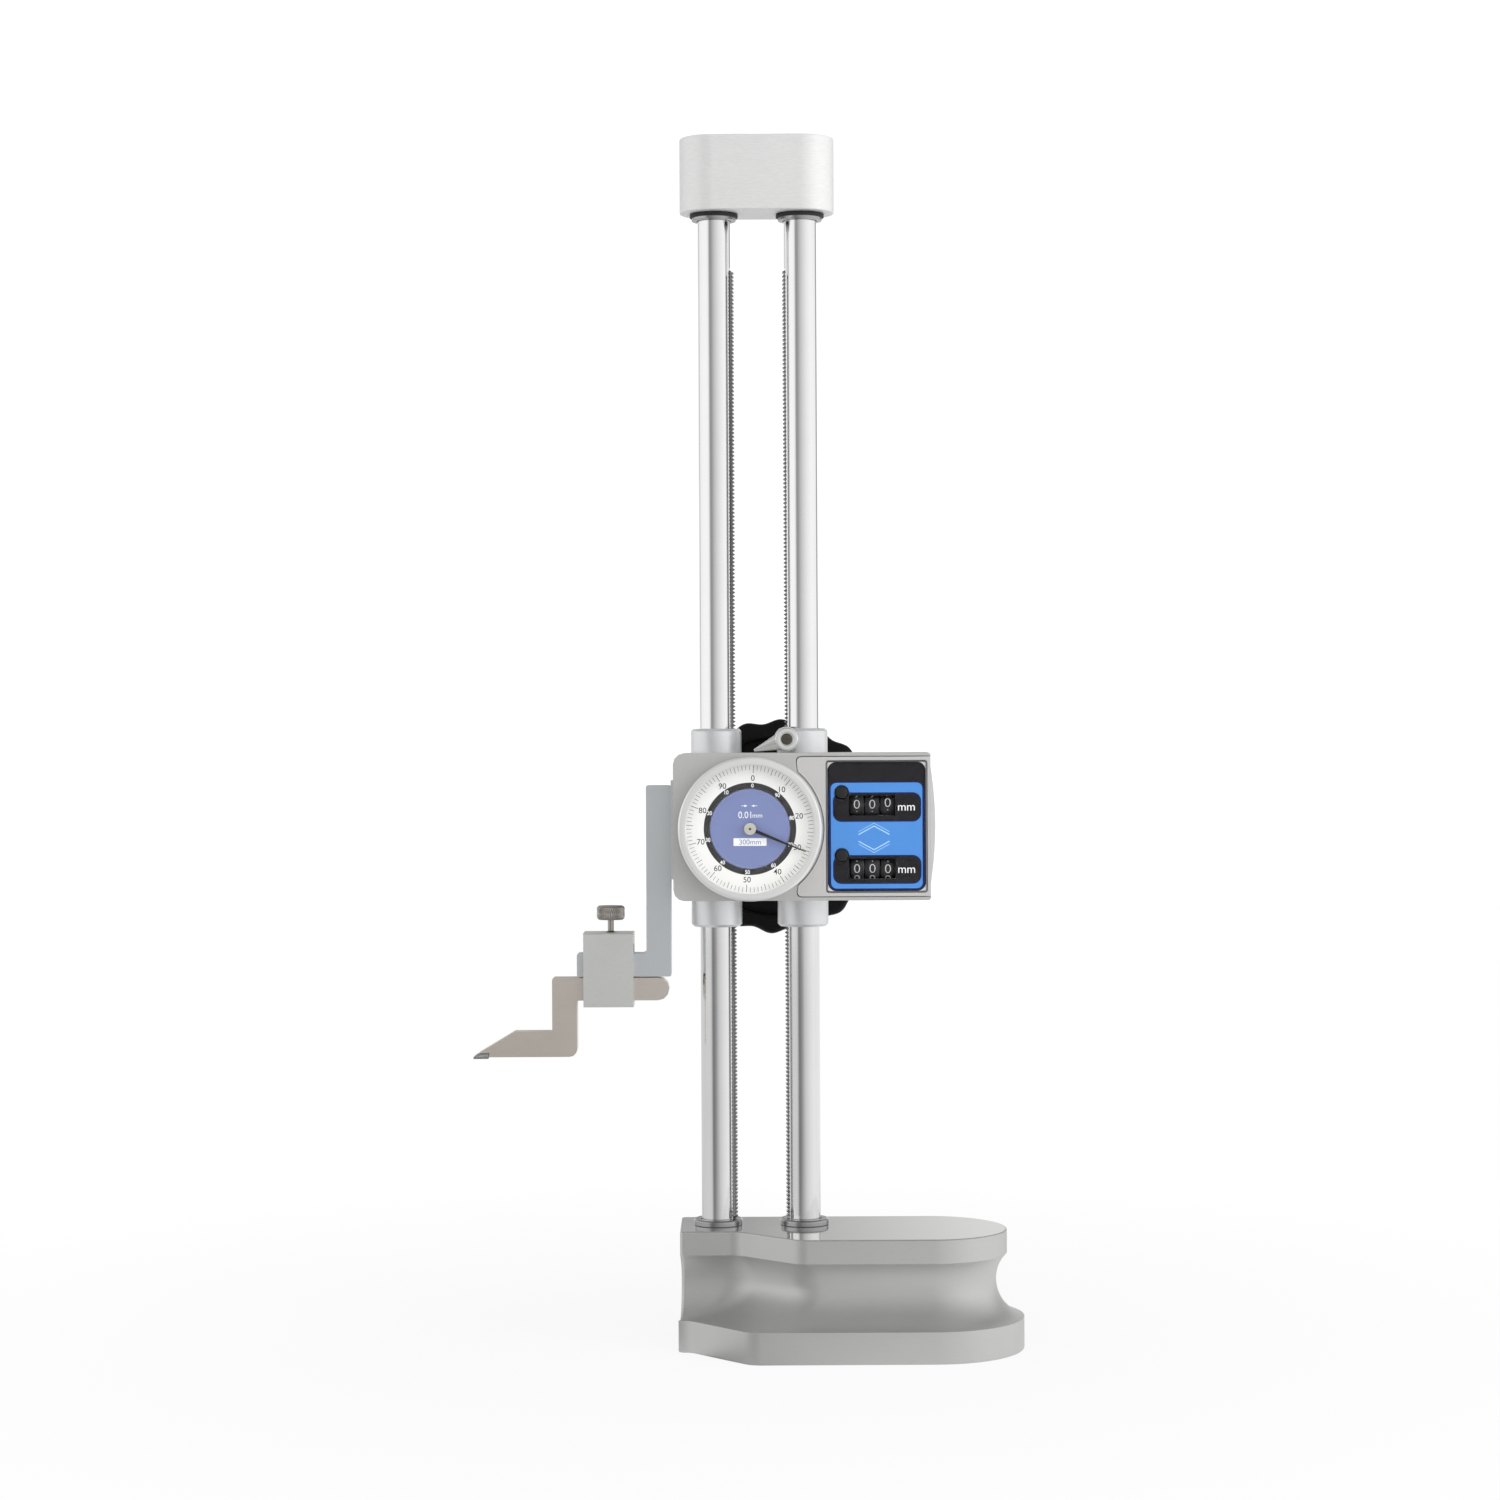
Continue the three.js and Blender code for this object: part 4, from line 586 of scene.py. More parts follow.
def drill(radius, low, high, across, up=0, axis="z", sides=HOLE_SIDES):
    """A plain round cutter or disc."""
    return ring(0, radius, low, high, sides=sides, axis=axis, across=across, up=up)


def cap_screw(seat, way, tip, across):
    """A socket-head screw from its seat: way is 1 with its head up and -1 with its head down."""
    top = seat + way * SCREW_HEAD_HEIGHT
    profile = rounded([
        (0, top),
        (SCREW_HEAD_RADIUS, top, SCREW_EDGE),
        (SCREW_HEAD_RADIUS, seat),
        (SCREW_SHANK_RADIUS, seat),
        (SCREW_SHANK_RADIUS, tip, SCREW_EDGE),
        (0, tip),
    ], RING_STEPS)
    low, high = sorted((top + way * PAST, top - way * SOCKET_DEPTH))
    socket = drill(SOCKET_RADIUS, low, high, across, sides=SOCKET_SIDES)
    return carved(turned(profile, across=across), socket)


for side, name in SIDES:
    bridge_screw = cap_screw(BRIDGE_SEAT, 1, BRIDGE_SCREW_TIP, side * COLUMN_X)
    piece(
        f"{name}_bridge_cap_screw", bridge_screw, black_steel, "dark_steel", "base",
        f"{name}_bridge_screw")
    base_bolt = cap_screw(BOLT_HEAD_FLOOR, -1, BASE_BOLT_TIP, side * COLUMN_X)
    piece(f"{name}_base_cap_screw", base_bolt, black_steel, "dark_steel", "base", f"{name}_base_bolt")


# Slider body: the carriage's aluminium casting, with two round bosses that run on the
# columns, the plate that carries the dial and counters, and the flange behind the cover.
# Bead blasted and clear anodised, so it is pale and satin.
SLIDER_EDGE = 0.00025
SLIDER_ALUMINIUM = (0.84, 0.85, 0.86, 1)

slider_aluminium = finish(
    "anodised_casting", SLIDER_ALUMINIUM, rough=0.4, metal=0.7, grain=0.1, smudge=0.05, depth=0.000015)
dressed(slider_aluminium, "aluminium", "slider_body", edge=SLIDER_EDGE)


# Bushes: short turned brass sleeves, four pressed into the ends of the bosses, where they
# guide the columns, and one that carries the feed shaft.
BUSH_BRASS = (0.62, 0.47, 0.22, 1)

bush_brass = finish(
    "turned_brass", BUSH_BRASS, rough=0.3, metal=1, stretch=TURNING_LINES, grain=0.12, smudge=0.1)
dressed(
    bush_brass, "brass", "left_lower_bush", "left_upper_bush", "right_lower_bush", "right_upper_bush",
    "feed_bush")


# Measuring arm: an L of ground steel, 9.8 mm wide and 9 mm thick, screwed to the lug at
# the left of the slider. Surface ground on all faces, with faint lines along it.
ARM_EDGE = 0.0003
ARM_STEEL = (0.77, 0.8, 0.82, 1)
ARM_LINES = (5000, 700, 350)

arm_steel = finish(
    "ground_arm_steel", ARM_STEEL, rough=0.36, metal=0.85, stretch=ARM_LINES, grain=0.1, smudge=0.06,
    depth=0.000006)
dressed(arm_steel, "steel", "measuring_arm", edge=ARM_EDGE)
dressed(black_steel, "dark_steel", "upper_arm_screw", "lower_arm_screw")


# Front cover: a shallow case of cast aluminium with rounded corners, open at the back,
# with a round hole for the dial. Painted in a warm grey with a fine satin texture, as is the
# rear cover. The counters have a paler cover of their own.
COVER_PAINT = (0.565, 0.565, 0.555, 1)
PALE_COVER = (0.68, 0.67, 0.655, 1)
COVER_EDGE = 0.0003

cover_paint = finish(
    "warm_grey_cover", COVER_PAINT, rough=0.4, metal=0.25, grain=0.12, smudge=0.04, depth=0.00002)
pale_cover = finish(
    "pale_counter_cover", PALE_COVER, rough=0.38, metal=0.3, grain=0.1, smudge=0.04, depth=0.00002)
dressed(cover_paint, "cover", "front_cover", "rear_cover", edge=COVER_EDGE)
dressed(pale_cover, "cover", "counter_cover", edge=COVER_EDGE)


# Works behind the dial and the counters: pressed brass plates, steel arbors with cut
# wheels, and the counters' steel frame. All of it sits inside the closed covers.
WORKS_BRASS = (0.68, 0.54, 0.27, 1)
WORKS_STEEL = (0.5, 0.5, 0.51, 1)

works_brass = finish("works_brass", WORKS_BRASS, rough=0.28, metal=1, grain=0.1, smudge=0.1)
works_steel = finish("works_steel", WORKS_STEEL, rough=0.3, metal=1, grain=0.1, smudge=0.1)
dressed(
    works_brass, "brass", "movement_plate", "measuring_arbor", "counter_arbor", "intermediate_arbor")
dressed(
    works_steel, "steel", "counter_frame", "transfer_shaft", "upper_counter_shaft",
    "lower_counter_shaft")


# Bezel: a turned and anodised aluminium ring that holds the crystal and is turned by
# hand to set the dial to zero. It snaps over a groove in the front cover.
DIAL_X = -0.0038
DIAL_Z = 0.2035
BEZEL_RADIUS = 0.0279
BEZEL_FRONT = -0.0303
BEZEL_BACK = -0.0243
BEZEL_LIP_RADIUS = 0.025
BEZEL_LIP_BACK = -0.0299
BEZEL_INNER = 0.0259
BEZEL_EDGE = 0.0011
BEZEL_LIP_EDGE = 0.0002
BEZEL_BACK_EDGE = 0.0003
BEZEL_SMALL_STEPS = 3
BEZEL_SIDES = 192
BEZEL_SILVER = (0.92, 0.92, 0.91, 1)

bezel_silver = finish("bezel_silver", BEZEL_SILVER, rough=0.3, metal=0.6, grain=0.06, smudge=0.05)
bezel_profile = rounded([
    (BEZEL_LIP_RADIUS, BEZEL_FRONT, BEZEL_LIP_EDGE, BEZEL_SMALL_STEPS),
    (BEZEL_RADIUS, BEZEL_FRONT, BEZEL_EDGE),
    (BEZEL_RADIUS, BEZEL_BACK, BEZEL_BACK_EDGE, BEZEL_SMALL_STEPS),
    (BEZEL_INNER, BEZEL_BACK),
    (BEZEL_INNER, BEZEL_LIP_BACK),
    (BEZEL_LIP_RADIUS, BEZEL_LIP_BACK),
])
bezel = turned(bezel_profile, BEZEL_SIDES, "y", DIAL_X, DIAL_Z)
piece("turned_bezel", bezel, bezel_silver, "chrome", "dial", "bezel")


# Crystal: a flat disc of clear acrylic with a polished front. It is pressed into the bezel
# from behind and turns with it.
CRYSTAL_RADIUS = 0.0256
CRYSTAL_FRONT = -0.0296
CRYSTAL_BACK = -0.0286
WHITE = (1, 1, 1, 1)
CLEAR_SHEET = {"Base_Color": WHITE, "IOR": 1.02, "Transmission_Weight": 1}
ON_DIAL = {"sides": BEZEL_SIDES, "axis": "y", "across": DIAL_X, "up": DIAL_Z}

clear_acrylic, _ = principled("clear_acrylic", **CLEAR_SHEET, Roughness=0.01)
crystal = ring(0, CRYSTAL_RADIUS, CRYSTAL_FRONT, CRYSTAL_BACK, **ON_DIAL)
piece("clear_crystal", crystal, clear_acrylic, "clear", "dial", "crystal")


# Dial ring: a white anodised aluminium ring that turns with the bezel, printed in black
# with a hundred divisions, numbers for travel up and, on a black band, for travel down.
DIAL_FRONT = -0.0256
DIAL_BACK = -0.0248
DIAL_RING_INNER = 0.0157
DIAL_TURN = math.radians(3.5)
BAND_OUTER = 0.0179
INK_DEPTH = 0.00003
SCALE_OUTER = 0.0246
TICKS = 100
NUMBERS = 10
TICK_INNER = {10: 0.0216, 5: 0.0221, 1: 0.0227}
TICK_WIDTH = {10: 0.0002, 5: 0.00017, 1: 0.00014}
NUMBER_RADIUS = 0.0197
NUMBER_HEIGHT = 0.0022
BAND_NUMBER_RADIUS = 0.0168
BAND_NUMBER_HEIGHT = 0.0016
BAND_NUMBER_STRETCH = 0.9
NUMBER_WEIGHT = 0.004
BAND_NUMBER_WEIGHT = 0.02
FONT_STEPS = 4
FONT_DEPTH = 0.5
FONT_WELD = 0.0005
DIAL_WHITE = (0.84, 0.84, 0.82, 1)
INK_BLACK = (0.02, 0.02, 0.022, 1)
INK_WHITE = (0.86, 0.87, 0.88, 1)
PRINTED = {"grain": 0.03, "smudge": 0.03, "depth": 0}

dial_white = finish("dial_white", DIAL_WHITE, rough=0.5, **PRINTED)
ink_black = finish("ink_black", INK_BLACK, rough=0.45, grain=0.05, smudge=0.05, depth=0)
ink_white = finish("ink_white", INK_WHITE, rough=0.5, **PRINTED)
dial_ring = ring(DIAL_RING_INNER, CRYSTAL_RADIUS, DIAL_FRONT, DIAL_BACK, **ON_DIAL)
piece("white_dial_ring", dial_ring, dial_white, "dial_white", "dial", "dial_ring")
band = ring(DIAL_RING_INNER, BAND_OUTER, DIAL_FRONT - INK_DEPTH, DIAL_FRONT, **ON_DIAL)
piece("dial_black_band", band, ink_black, "dial_white", "dial")


def gathered(meshes):
    """Several meshes as one."""
    work = bmesh.new()
    for mesh in meshes:
        work.from_mesh(mesh)
        bpy.data.meshes.remove(mesh)
    return meshed(work)


def lettering(words, height, across, up, front, stretch=1, weight=0):
    """Printed figures as a thin closed mesh that stands upright and faces the front."""
    curve = bpy.data.curves.new("figures", "FONT")
    curve.body = words
    curve.size = 1
    curve.resolution_u = FONT_STEPS
    curve.extrude = FONT_DEPTH
    curve.offset = weight
    carrier = placed("figures", curve)
    flat = settled(carrier)
    bpy.data.objects.remove(carrier)
    work = bmesh.new()
    work.from_mesh(flat)
    bpy.data.meshes.remove(flat)
    bmesh.ops.remove_doubles(work, verts=work.verts, dist=FONT_WELD)
    low = [min(corner.co[i] for corner in work.verts) for i in range(3)]
    high = [max(corner.co[i] for corner in work.verts) for i in range(3)]
    scale = height / (high[1] - low[1])
    for corner in work.verts:
        corner.co = (
            across + (corner.co.x - (low[0] + high[0]) / 2) * scale * stretch,
            front - (corner.co.z + FONT_DEPTH) * INK_DEPTH,
            up + (corner.co.y - (low[1] + high[1]) / 2) * scale)
    return meshed(work)


def tick_bar(across, up, turn, low, high, width, front):
    """A thin printed bar from one radius to another, at an angle clockwise from the top."""
    corners = []
    for side, reach in ((-1, low), (1, low), (1, high), (-1, high)):
        half = side * width / 2
        corners.append(Vector((
            across + reach * math.sin(turn) + half * math.cos(turn),
            up + reach * math.cos(turn) - half * math.sin(turn))))
    return slab(corners, front - INK_DEPTH, front, axis="y")


ticks = []
for tick in range(TICKS):
    kind = next(step for step in TICK_INNER if tick % step == 0)
    tick_turn = DIAL_TURN + 2 * math.pi * tick / TICKS
    ticks.append(tick_bar(
        DIAL_X, DIAL_Z, tick_turn, TICK_INNER[kind], SCALE_OUTER, TICK_WIDTH[kind], DIAL_FRONT))
outer_figures = []
band_figures = []
for number in range(NUMBERS):
    words = str(number * TICKS // NUMBERS)
    number_turn = 2 * math.pi * number / NUMBERS
    up_turn = DIAL_TURN + number_turn
    outer_figures.append(lettering(
        words, NUMBER_HEIGHT, DIAL_X + NUMBER_RADIUS * math.sin(up_turn),
        DIAL_Z + NUMBER_RADIUS * math.cos(up_turn), DIAL_FRONT, weight=NUMBER_WEIGHT))
    down_turn = DIAL_TURN - number_turn
    band_figures.append(lettering(
        words, BAND_NUMBER_HEIGHT, DIAL_X + BAND_NUMBER_RADIUS * math.sin(down_turn),
        DIAL_Z + BAND_NUMBER_RADIUS * math.cos(down_turn), DIAL_FRONT - INK_DEPTH,
        BAND_NUMBER_STRETCH, BAND_NUMBER_WEIGHT))
piece("dial_divisions", gathered(ticks), ink_black, "dial_white", "dial")
piece("dial_numbers", gathered(outer_figures), ink_black, "dial_white", "dial")
piece("dial_band_numbers", gathered(band_figures), ink_white, "dial_white", "dial")


# Centre disc: a fixed aluminium disc within the turning ring, printed blue violet, with
# two small arrows, the value of one division, and a white label with the range.
DISC_RADIUS = 0.0154
DISC_FRONT = -0.0256
DISC_BACK = -0.024
DISC_VIOLET = (0.18, 0.22, 0.43, 1)
ARROW_UP = 0.0089
ARROW_REACH = 0.0012
ARROW_APART = 0.0019
ARROW_HALF = 0.00045
SHAFT_HALF = 0.00011
ARROWS_LEFT = 0.0002
VALUE_UP = 0.0054
VALUE_HEIGHT = 0.0026
VALUE_LEFT = 0.002
VALUE_STRETCH = 0.9
VALUE_UNIT_RIGHT = 0.0029
VALUE_UNIT_DROP = 0.0005
VALUE_UNIT_HEIGHT = 0.0012
LABEL_UP = -0.0051
LABEL_HALF_WIDTH = 0.0064
LABEL_HALF_HEIGHT = 0.0015
LABEL_CORNER = 0.0002
RANGE_HEIGHT = 0.002
DISC_BORE = 0.0009

disc_violet = finish("disc_violet", DISC_VIOLET, rough=0.4, grain=0.03, smudge=0.04, depth=0)
disc = carved(
    ring(0, DISC_RADIUS, DISC_FRONT, DISC_BACK, **ON_DIAL),
    drill(DISC_BORE, DISC_FRONT - PAST, DISC_BACK + PAST, DIAL_X, DIAL_Z, "y"))
piece("violet_centre_disc", disc, disc_violet, "dial_violet", "carriage", "center_disc")
disc_prints = [
    lettering(
        "0.01", VALUE_HEIGHT, DIAL_X - VALUE_LEFT, DIAL_Z + VALUE_UP, DISC_FRONT, VALUE_STRETCH),
    lettering(
        "mm", VALUE_UNIT_HEIGHT, DIAL_X + VALUE_UNIT_RIGHT, DIAL_Z + VALUE_UP - VALUE_UNIT_DROP,
        DISC_FRONT)]
for side in (-1, 1):
    middle = DIAL_X + side * ARROW_APART - ARROWS_LEFT
    tip = middle - side * ARROW_REACH
    head = tip + side * ARROW_REACH
    tail = middle + side * ARROW_REACH
    level = DIAL_Z + ARROW_UP
    arrow = [
        Vector((tip, level)), Vector((head, level - ARROW_HALF)), Vector((head, level - SHAFT_HALF)),
        Vector((tail, level - SHAFT_HALF)), Vector((tail, level + SHAFT_HALF)),
        Vector((head, level + SHAFT_HALF)), Vector((head, level + ARROW_HALF))]
    disc_prints.append(slab(arrow[::-side], DISC_FRONT - INK_DEPTH, DISC_FRONT, axis="y"))
label_outline = plain_box(
    DIAL_X - LABEL_HALF_WIDTH, DIAL_X + LABEL_HALF_WIDTH, DIAL_Z + LABEL_UP - LABEL_HALF_HEIGHT,
    DIAL_Z + LABEL_UP + LABEL_HALF_HEIGHT, LABEL_CORNER)
disc_prints.append(slab(label_outline, DISC_FRONT - INK_DEPTH, DISC_FRONT, axis="y"))
piece("centre_disc_print", gathered(disc_prints), ink_white, "dial_white", "carriage")
range_print = lettering("300mm", RANGE_HEIGHT, DIAL_X, DIAL_Z + LABEL_UP, DISC_FRONT - INK_DEPTH)
piece("range_label_print", range_print, disc_violet, "dial_violet", "carriage")


# Pointer: a thin blackened steel strip on a bright turned hub, pressed on the last arbor of
# the gear train, whose end shows as a small dark dot in the hub.
POINTER_TURN = math.radians(112.4)
POINTER_FRONT = -0.0274
POINTER_BACK = -0.0271
POINTER_LENGTH = 0.0233
POINTER_ROOT = 0.0015
POINTER_TIP = 0.00035
HUB_FRONT = -0.0282
HUB_EDGE = 0.00025
ARBOR_END = 0.0005
POINTER_BLACK = (0.015, 0.015, 0.018, 1)
HUB_SILVER = (0.5, 0.485, 0.43, 1)

pointer_black = finish(
    "pointer_black", POINTER_BLACK, rough=0.35, metal=0.3, grain=0.05, smudge=0.05, depth=0)
hub_silver = finish("hub_silver", HUB_SILVER, rough=0.4, metal=0.6, grain=0.05, smudge=0.05)
outward = Vector((math.sin(POINTER_TURN), math.cos(POINTER_TURN)))
aside = Vector((outward.y, -outward.x))
hub = Vector((DIAL_X, DIAL_Z))
pointer_end = hub + outward * POINTER_LENGTH
pointer_strip = slab([
    hub - aside * POINTER_ROOT / 2, hub + aside * POINTER_ROOT / 2,
    pointer_end + aside * POINTER_TIP / 2, pointer_end - aside * POINTER_TIP / 2,
], POINTER_FRONT, POINTER_BACK, axis="y")
piece("pointer_strip", pointer_strip, pointer_black, "dark_steel", "pointer_train", "pointer")
dressed(hub_silver, "steel", "pointer_arbor", edge=HUB_EDGE)
arbor_end = drill(ARBOR_END, HUB_FRONT - INK_DEPTH, HUB_FRONT, DIAL_X, DIAL_Z, "y")
piece("pointer_arbor_end", arbor_end, black_steel, "dark_steel", "pointer_train")


# Counter panel: a pale plastic plate behind the window, printed black over navy over
# bright blue, with two sights for the number drums and two holes for the reset buttons.
PANEL_FRONT = -0.0234
PANEL_BACK = -0.0229
PANEL_LEFT = 0.0259
PANEL_RIGHT = 0.0648
PANEL_LOW = 0.1787
PANEL_HIGH = 0.2296
PANEL_CORNER = 0.0009
PRINT_MARGIN = 0.0004
PRINT_CORNER = 0.0034
BLUE_LEFT = 0.0276
BLUE_RIGHT = 0.0631
BLUE_LOW = 0.1801
BLUE_HIGH = 0.2211
BLUE_CORNER = 0.0022
FIELD_LEFT = 0.0288
FIELD_RIGHT = 0.0622
FIELD_CORNER = 0.0029
TAB_RADIUS = 0.0024
NAVY_EDGE = 0.00045
SIGHT_LEFT = 0.0347
SIGHT_RIGHT = 0.0527
SIGHT_HALF = 0.0039
BUTTON_X = 0.0318
BUTTON_HOLE = 0.0027
ROWS = {
    "upper": {"sight": 0.2122, "button": 0.2174, "low": 0.2064, "high": 0.2169, "unit": 0.2113},
    "lower": {"sight": 0.1878, "button": 0.193, "low": 0.1823, "high": 0.1926, "unit": 0.1871},
}
UNIT_X = 0.0569
UNIT_HEIGHT = 0.0021
CHEVRON_X = 0.0443
CHEVRON_REACH = 0.006
CHEVRON_DROP = 0.0033
CHEVRONS = ((0.2043, -1, 0.00042), (0.2054, -1, 0.0002), (0.1951, 1, 0.00042), (0.194, 1, 0.0002))
PANEL_PALE = (0.72, 0.73, 0.74, 1)
PANEL_BLACK = (0.014, 0.013, 0.015, 1)
NAVY = (0.007, 0.02, 0.12, 1)
BRIGHT_BLUE = (0.056, 0.24, 0.64, 1)
PRINT_SKY = (0.4, 0.68, 0.95, 1)
BLACK_LAYER, NAVY_LAYER, BLUE_LAYER, EDGE_LAYER, FIELD_LAYER = range(1, 6)

panel_holes = []
for row in ROWS.values():
    sight = plain_box(SIGHT_LEFT, SIGHT_RIGHT, row["sight"] - SIGHT_HALF, row["sight"] + SIGHT_HALF, FIT)
    panel_holes.append(slab(sight, PANEL_FRONT - PAST, PANEL_BACK + PAST, axis="y"))
    panel_holes.append(
        drill(BUTTON_HOLE, PANEL_FRONT - PAST, PANEL_BACK + PAST, BUTTON_X, row["button"], "y"))


def panel_layer(name, layer, material, outline, *tabs):
    """One printed layer of the panel, open where the sights and buttons are."""
    low = PANEL_FRONT - layer * INK_DEPTH
    sheet = slab(outline, low, low + INK_DEPTH, axis="y")
    if tabs:
        sheet = carved(sheet, *(slab(tab, low, low + INK_DEPTH, axis="y") for tab in tabs), way="UNION")
    piece(name, carved(sheet, *panel_holes), material, "panel_blue", "carriage")


def tabbed(row, grow):
    """A number field's outline: a rounded bar, and the round tab of its button."""
    bar_outline = plain_box(
        FIELD_LEFT - grow, FIELD_RIGHT + grow, row["low"] - grow, row["high"] + grow, FIELD_CORNER + grow)
    reach = TAB_RADIUS + grow
    tab_outline = plain_box(
        BUTTON_X - reach, BUTTON_X + reach, row["high"] - FIELD_CORNER, row["button"] + reach, reach - TINY)
    return bar_outline, tab_outline


panel_outline = plain_box(PANEL_LEFT, PANEL_RIGHT, PANEL_LOW, PANEL_HIGH, PANEL_CORNER)
panel_plate = carved(slab(panel_outline, PANEL_FRONT, PANEL_BACK, axis="y"), *panel_holes)
panel_pale = finish("panel_pale", PANEL_PALE, rough=0.3, metal=0.3, **PRINTED)
black_print = finish(
    "black_print", PANEL_BLACK, rough=0.4, grain=0.04, smudge=0.04, depth=0, Specular_IOR_Level=0.15)
navy_print = finish("navy_print", NAVY, rough=0.4, **PRINTED, Specular_IOR_Level=0.15)
blue_print = finish("bright_blue_print", BRIGHT_BLUE, rough=0.4, **PRINTED)
sky_print = finish("sky_print", PRINT_SKY, rough=0.4, **PRINTED)
piece("counter_panel_plate", panel_plate, panel_pale, "panel_blue", "carriage", "counter_panel")
print_outline = plain_box(
    PANEL_LEFT + PRINT_MARGIN, PANEL_RIGHT - PRINT_MARGIN, PANEL_LOW + PRINT_MARGIN,
    PANEL_HIGH - PRINT_MARGIN, PRINT_CORNER)
panel_layer("panel_black_print", BLACK_LAYER, black_print, print_outline)
navy_outline = plain_box(
    PANEL_LEFT + 2 * PRINT_MARGIN, PANEL_RIGHT - 2 * PRINT_MARGIN, PANEL_LOW + 2 * PRINT_MARGIN,
    BLUE_HIGH + NAVY_EDGE, PRINT_CORNER)
panel_layer("panel_navy_print", NAVY_LAYER, navy_print, navy_outline)
blue_outline = plain_box(BLUE_LEFT, BLUE_RIGHT, BLUE_LOW, BLUE_HIGH, BLUE_CORNER)
panel_layer("panel_blue_print", BLUE_LAYER, blue_print, blue_outline)
for name, row in ROWS.items():
    panel_layer(f"{name}_field_edge", EDGE_LAYER, navy_print, *tabbed(row, NAVY_EDGE))
    panel_layer(f"{name}_field", FIELD_LAYER, black_print, *tabbed(row, 0))
    unit = lettering("mm", UNIT_HEIGHT, UNIT_X, row["unit"], PANEL_FRONT - FIELD_LAYER * INK_DEPTH)
    piece(f"{name}_unit_print", unit, ink_white, "dial_white", "carriage")
chevrons = []
for apex, way, width in CHEVRONS:
    end = apex + way * CHEVRON_DROP
    stroke = [Vector((CHEVRON_X + across, up)) for across, up in (
        (-CHEVRON_REACH, end - width / 2), (0, apex - width / 2), (CHEVRON_REACH, end - width / 2),
        (CHEVRON_REACH, end + width / 2), (0, apex + width / 2), (-CHEVRON_REACH, end + width / 2))]
    front = PANEL_FRONT - EDGE_LAYER * INK_DEPTH
    chevrons.append(slab(stroke, front, front + INK_DEPTH, axis="y"))
piece("panel_chevrons", gathered(chevrons), sky_print, "dial_white", "carriage")


# Counter drums: black plastic drums with pale figures, ten on each, that show in the
# two sights. The units drums turn with their shafts and the others are stepped on.
DRUM_RADIUS = 0.007
DRUM_Y = -0.0155
FIGURES = 10
FIGURE_HEIGHT = 0.0034
FIGURE_STRETCH = 1.1
FIGURE_WEIGHT = -0.018
DRUMS = (("hundreds", 0.0377), ("tens", 0.0437), ("units", 0.0497))
LIFTS = (
    ("upper", -1, {"hundreds": 0.08, "tens": 0.08, "units": 0.17}),
    ("lower", 1, {"hundreds": 0, "tens": 0, "units": -0.02}))
DRUM_BLACK = (0.02, 0.02, 0.022, 1)
FIGURE_GREY = (0.56, 0.56, 0.55, 1)

drum_black = finish(
    "drum_black", DRUM_BLACK, rough=0.4, grain=0.08, smudge=0.06, Specular_IOR_Level=0.2)
figure_grey = finish("figure_grey", FIGURE_GREY, rough=0.5, **PRINTED)


def drum_figures(across, height, way, offset):
    """Ten figures wrapped round a drum; way is 1 where they count up as the drum turns forward."""
    figures = []
    for digit in range(FIGURES):
        flat = lettering(str(digit), FIGURE_HEIGHT, across, 0, 0, FIGURE_STRETCH, FIGURE_WEIGHT)
        turn = way * digit * 2 * math.pi / FIGURES + offset
        for corner in flat.vertices:
            radius = DRUM_RADIUS - corner.co.y
            angle = turn + corner.co.z / DRUM_RADIUS
            corner.co = (
                corner.co.x, DRUM_Y - radius * math.cos(angle), height + radius * math.sin(angle))
        figures.append(flat)
    return gathered(figures)


for row, way, lifts in LIFTS:
    for drum, across in DRUMS:
        dressed(drum_black, "black_plastic", f"{row}_{drum}_drum")
        figures = drum_figures(across, ROWS[row]["sight"], way, lifts[drum])
        piece(f"{row}_{drum}_figures", figures, figure_grey, "dial_white", f"{row}_{drum}")


# Counter window: a clear acrylic pane set in the cover's opening, with a polished bevel all
# round in dark grey, which is painted shade for the gap against the cover; its gloss catches the light.
WINDOW_FRONT = -0.0243
WINDOW_BACK = -0.0237
WINDOW_BEVEL = 0.00045
WINDOW_BEVEL_FRONT = -0.0241
WINDOW_CORNER = 0.0009
BEVEL_SHADE_GREY = (0.2, 0.205, 0.21, 1)

clear_pane, _ = principled("clear_pane", **CLEAR_SHEET, Roughness=0.02)
# The bevel's dark grey is painted shade, standing for the shadow in the gap round the pane.
painted_shade_bevel = finish(
    "painted_shade_bevel", BEVEL_SHADE_GREY, rough=0.12, metal=0.8, grain=0.05, smudge=0.1, depth=0)
window_outline = plain_box(PANEL_LEFT, PANEL_RIGHT, PANEL_LOW, PANEL_HIGH, WINDOW_CORNER)
pane_outline = inset(window_outline, WINDOW_BEVEL)
pane = slab(pane_outline, WINDOW_FRONT, WINDOW_BACK, axis="y")
pane = carved(pane, *(
    drill(BUTTON_HOLE, WINDOW_FRONT - PAST, WINDOW_BACK + PAST, BUTTON_X, row["button"], "y")
    for row in ROWS.values()))
piece("clear_window_pane", pane, clear_pane, "clear", "carriage", "counter_window")
bevel_ring = carved(
    stacked([
        (window_outline, WINDOW_BACK), (window_outline, WINDOW_BEVEL_FRONT),
        (pane_outline, WINDOW_FRONT)], "y"),
    slab(inset(pane_outline, TINY), WINDOW_FRONT - PAST, WINDOW_BACK + PAST, axis="y"))
piece("window_bevel", bevel_ring, painted_shade_bevel, "clear", "carriage")


# Reset buttons: round black plastic buttons at the upper left of each counter, pressed in
# to bring it to zero, each with a low dome.
BUTTON_RADIUS = 0.0024
BUTTON_FRONT = -0.0249
BUTTON_BACK = -0.0203
BUTTON_DOME = 0.0002
BUTTON_ROUND = 0.0006
BUTTON_BACK_EDGE = 0.0002
BUTTON_BACK_STEPS = 2
BUTTON_BLACK = (0.012, 0.012, 0.013, 1)

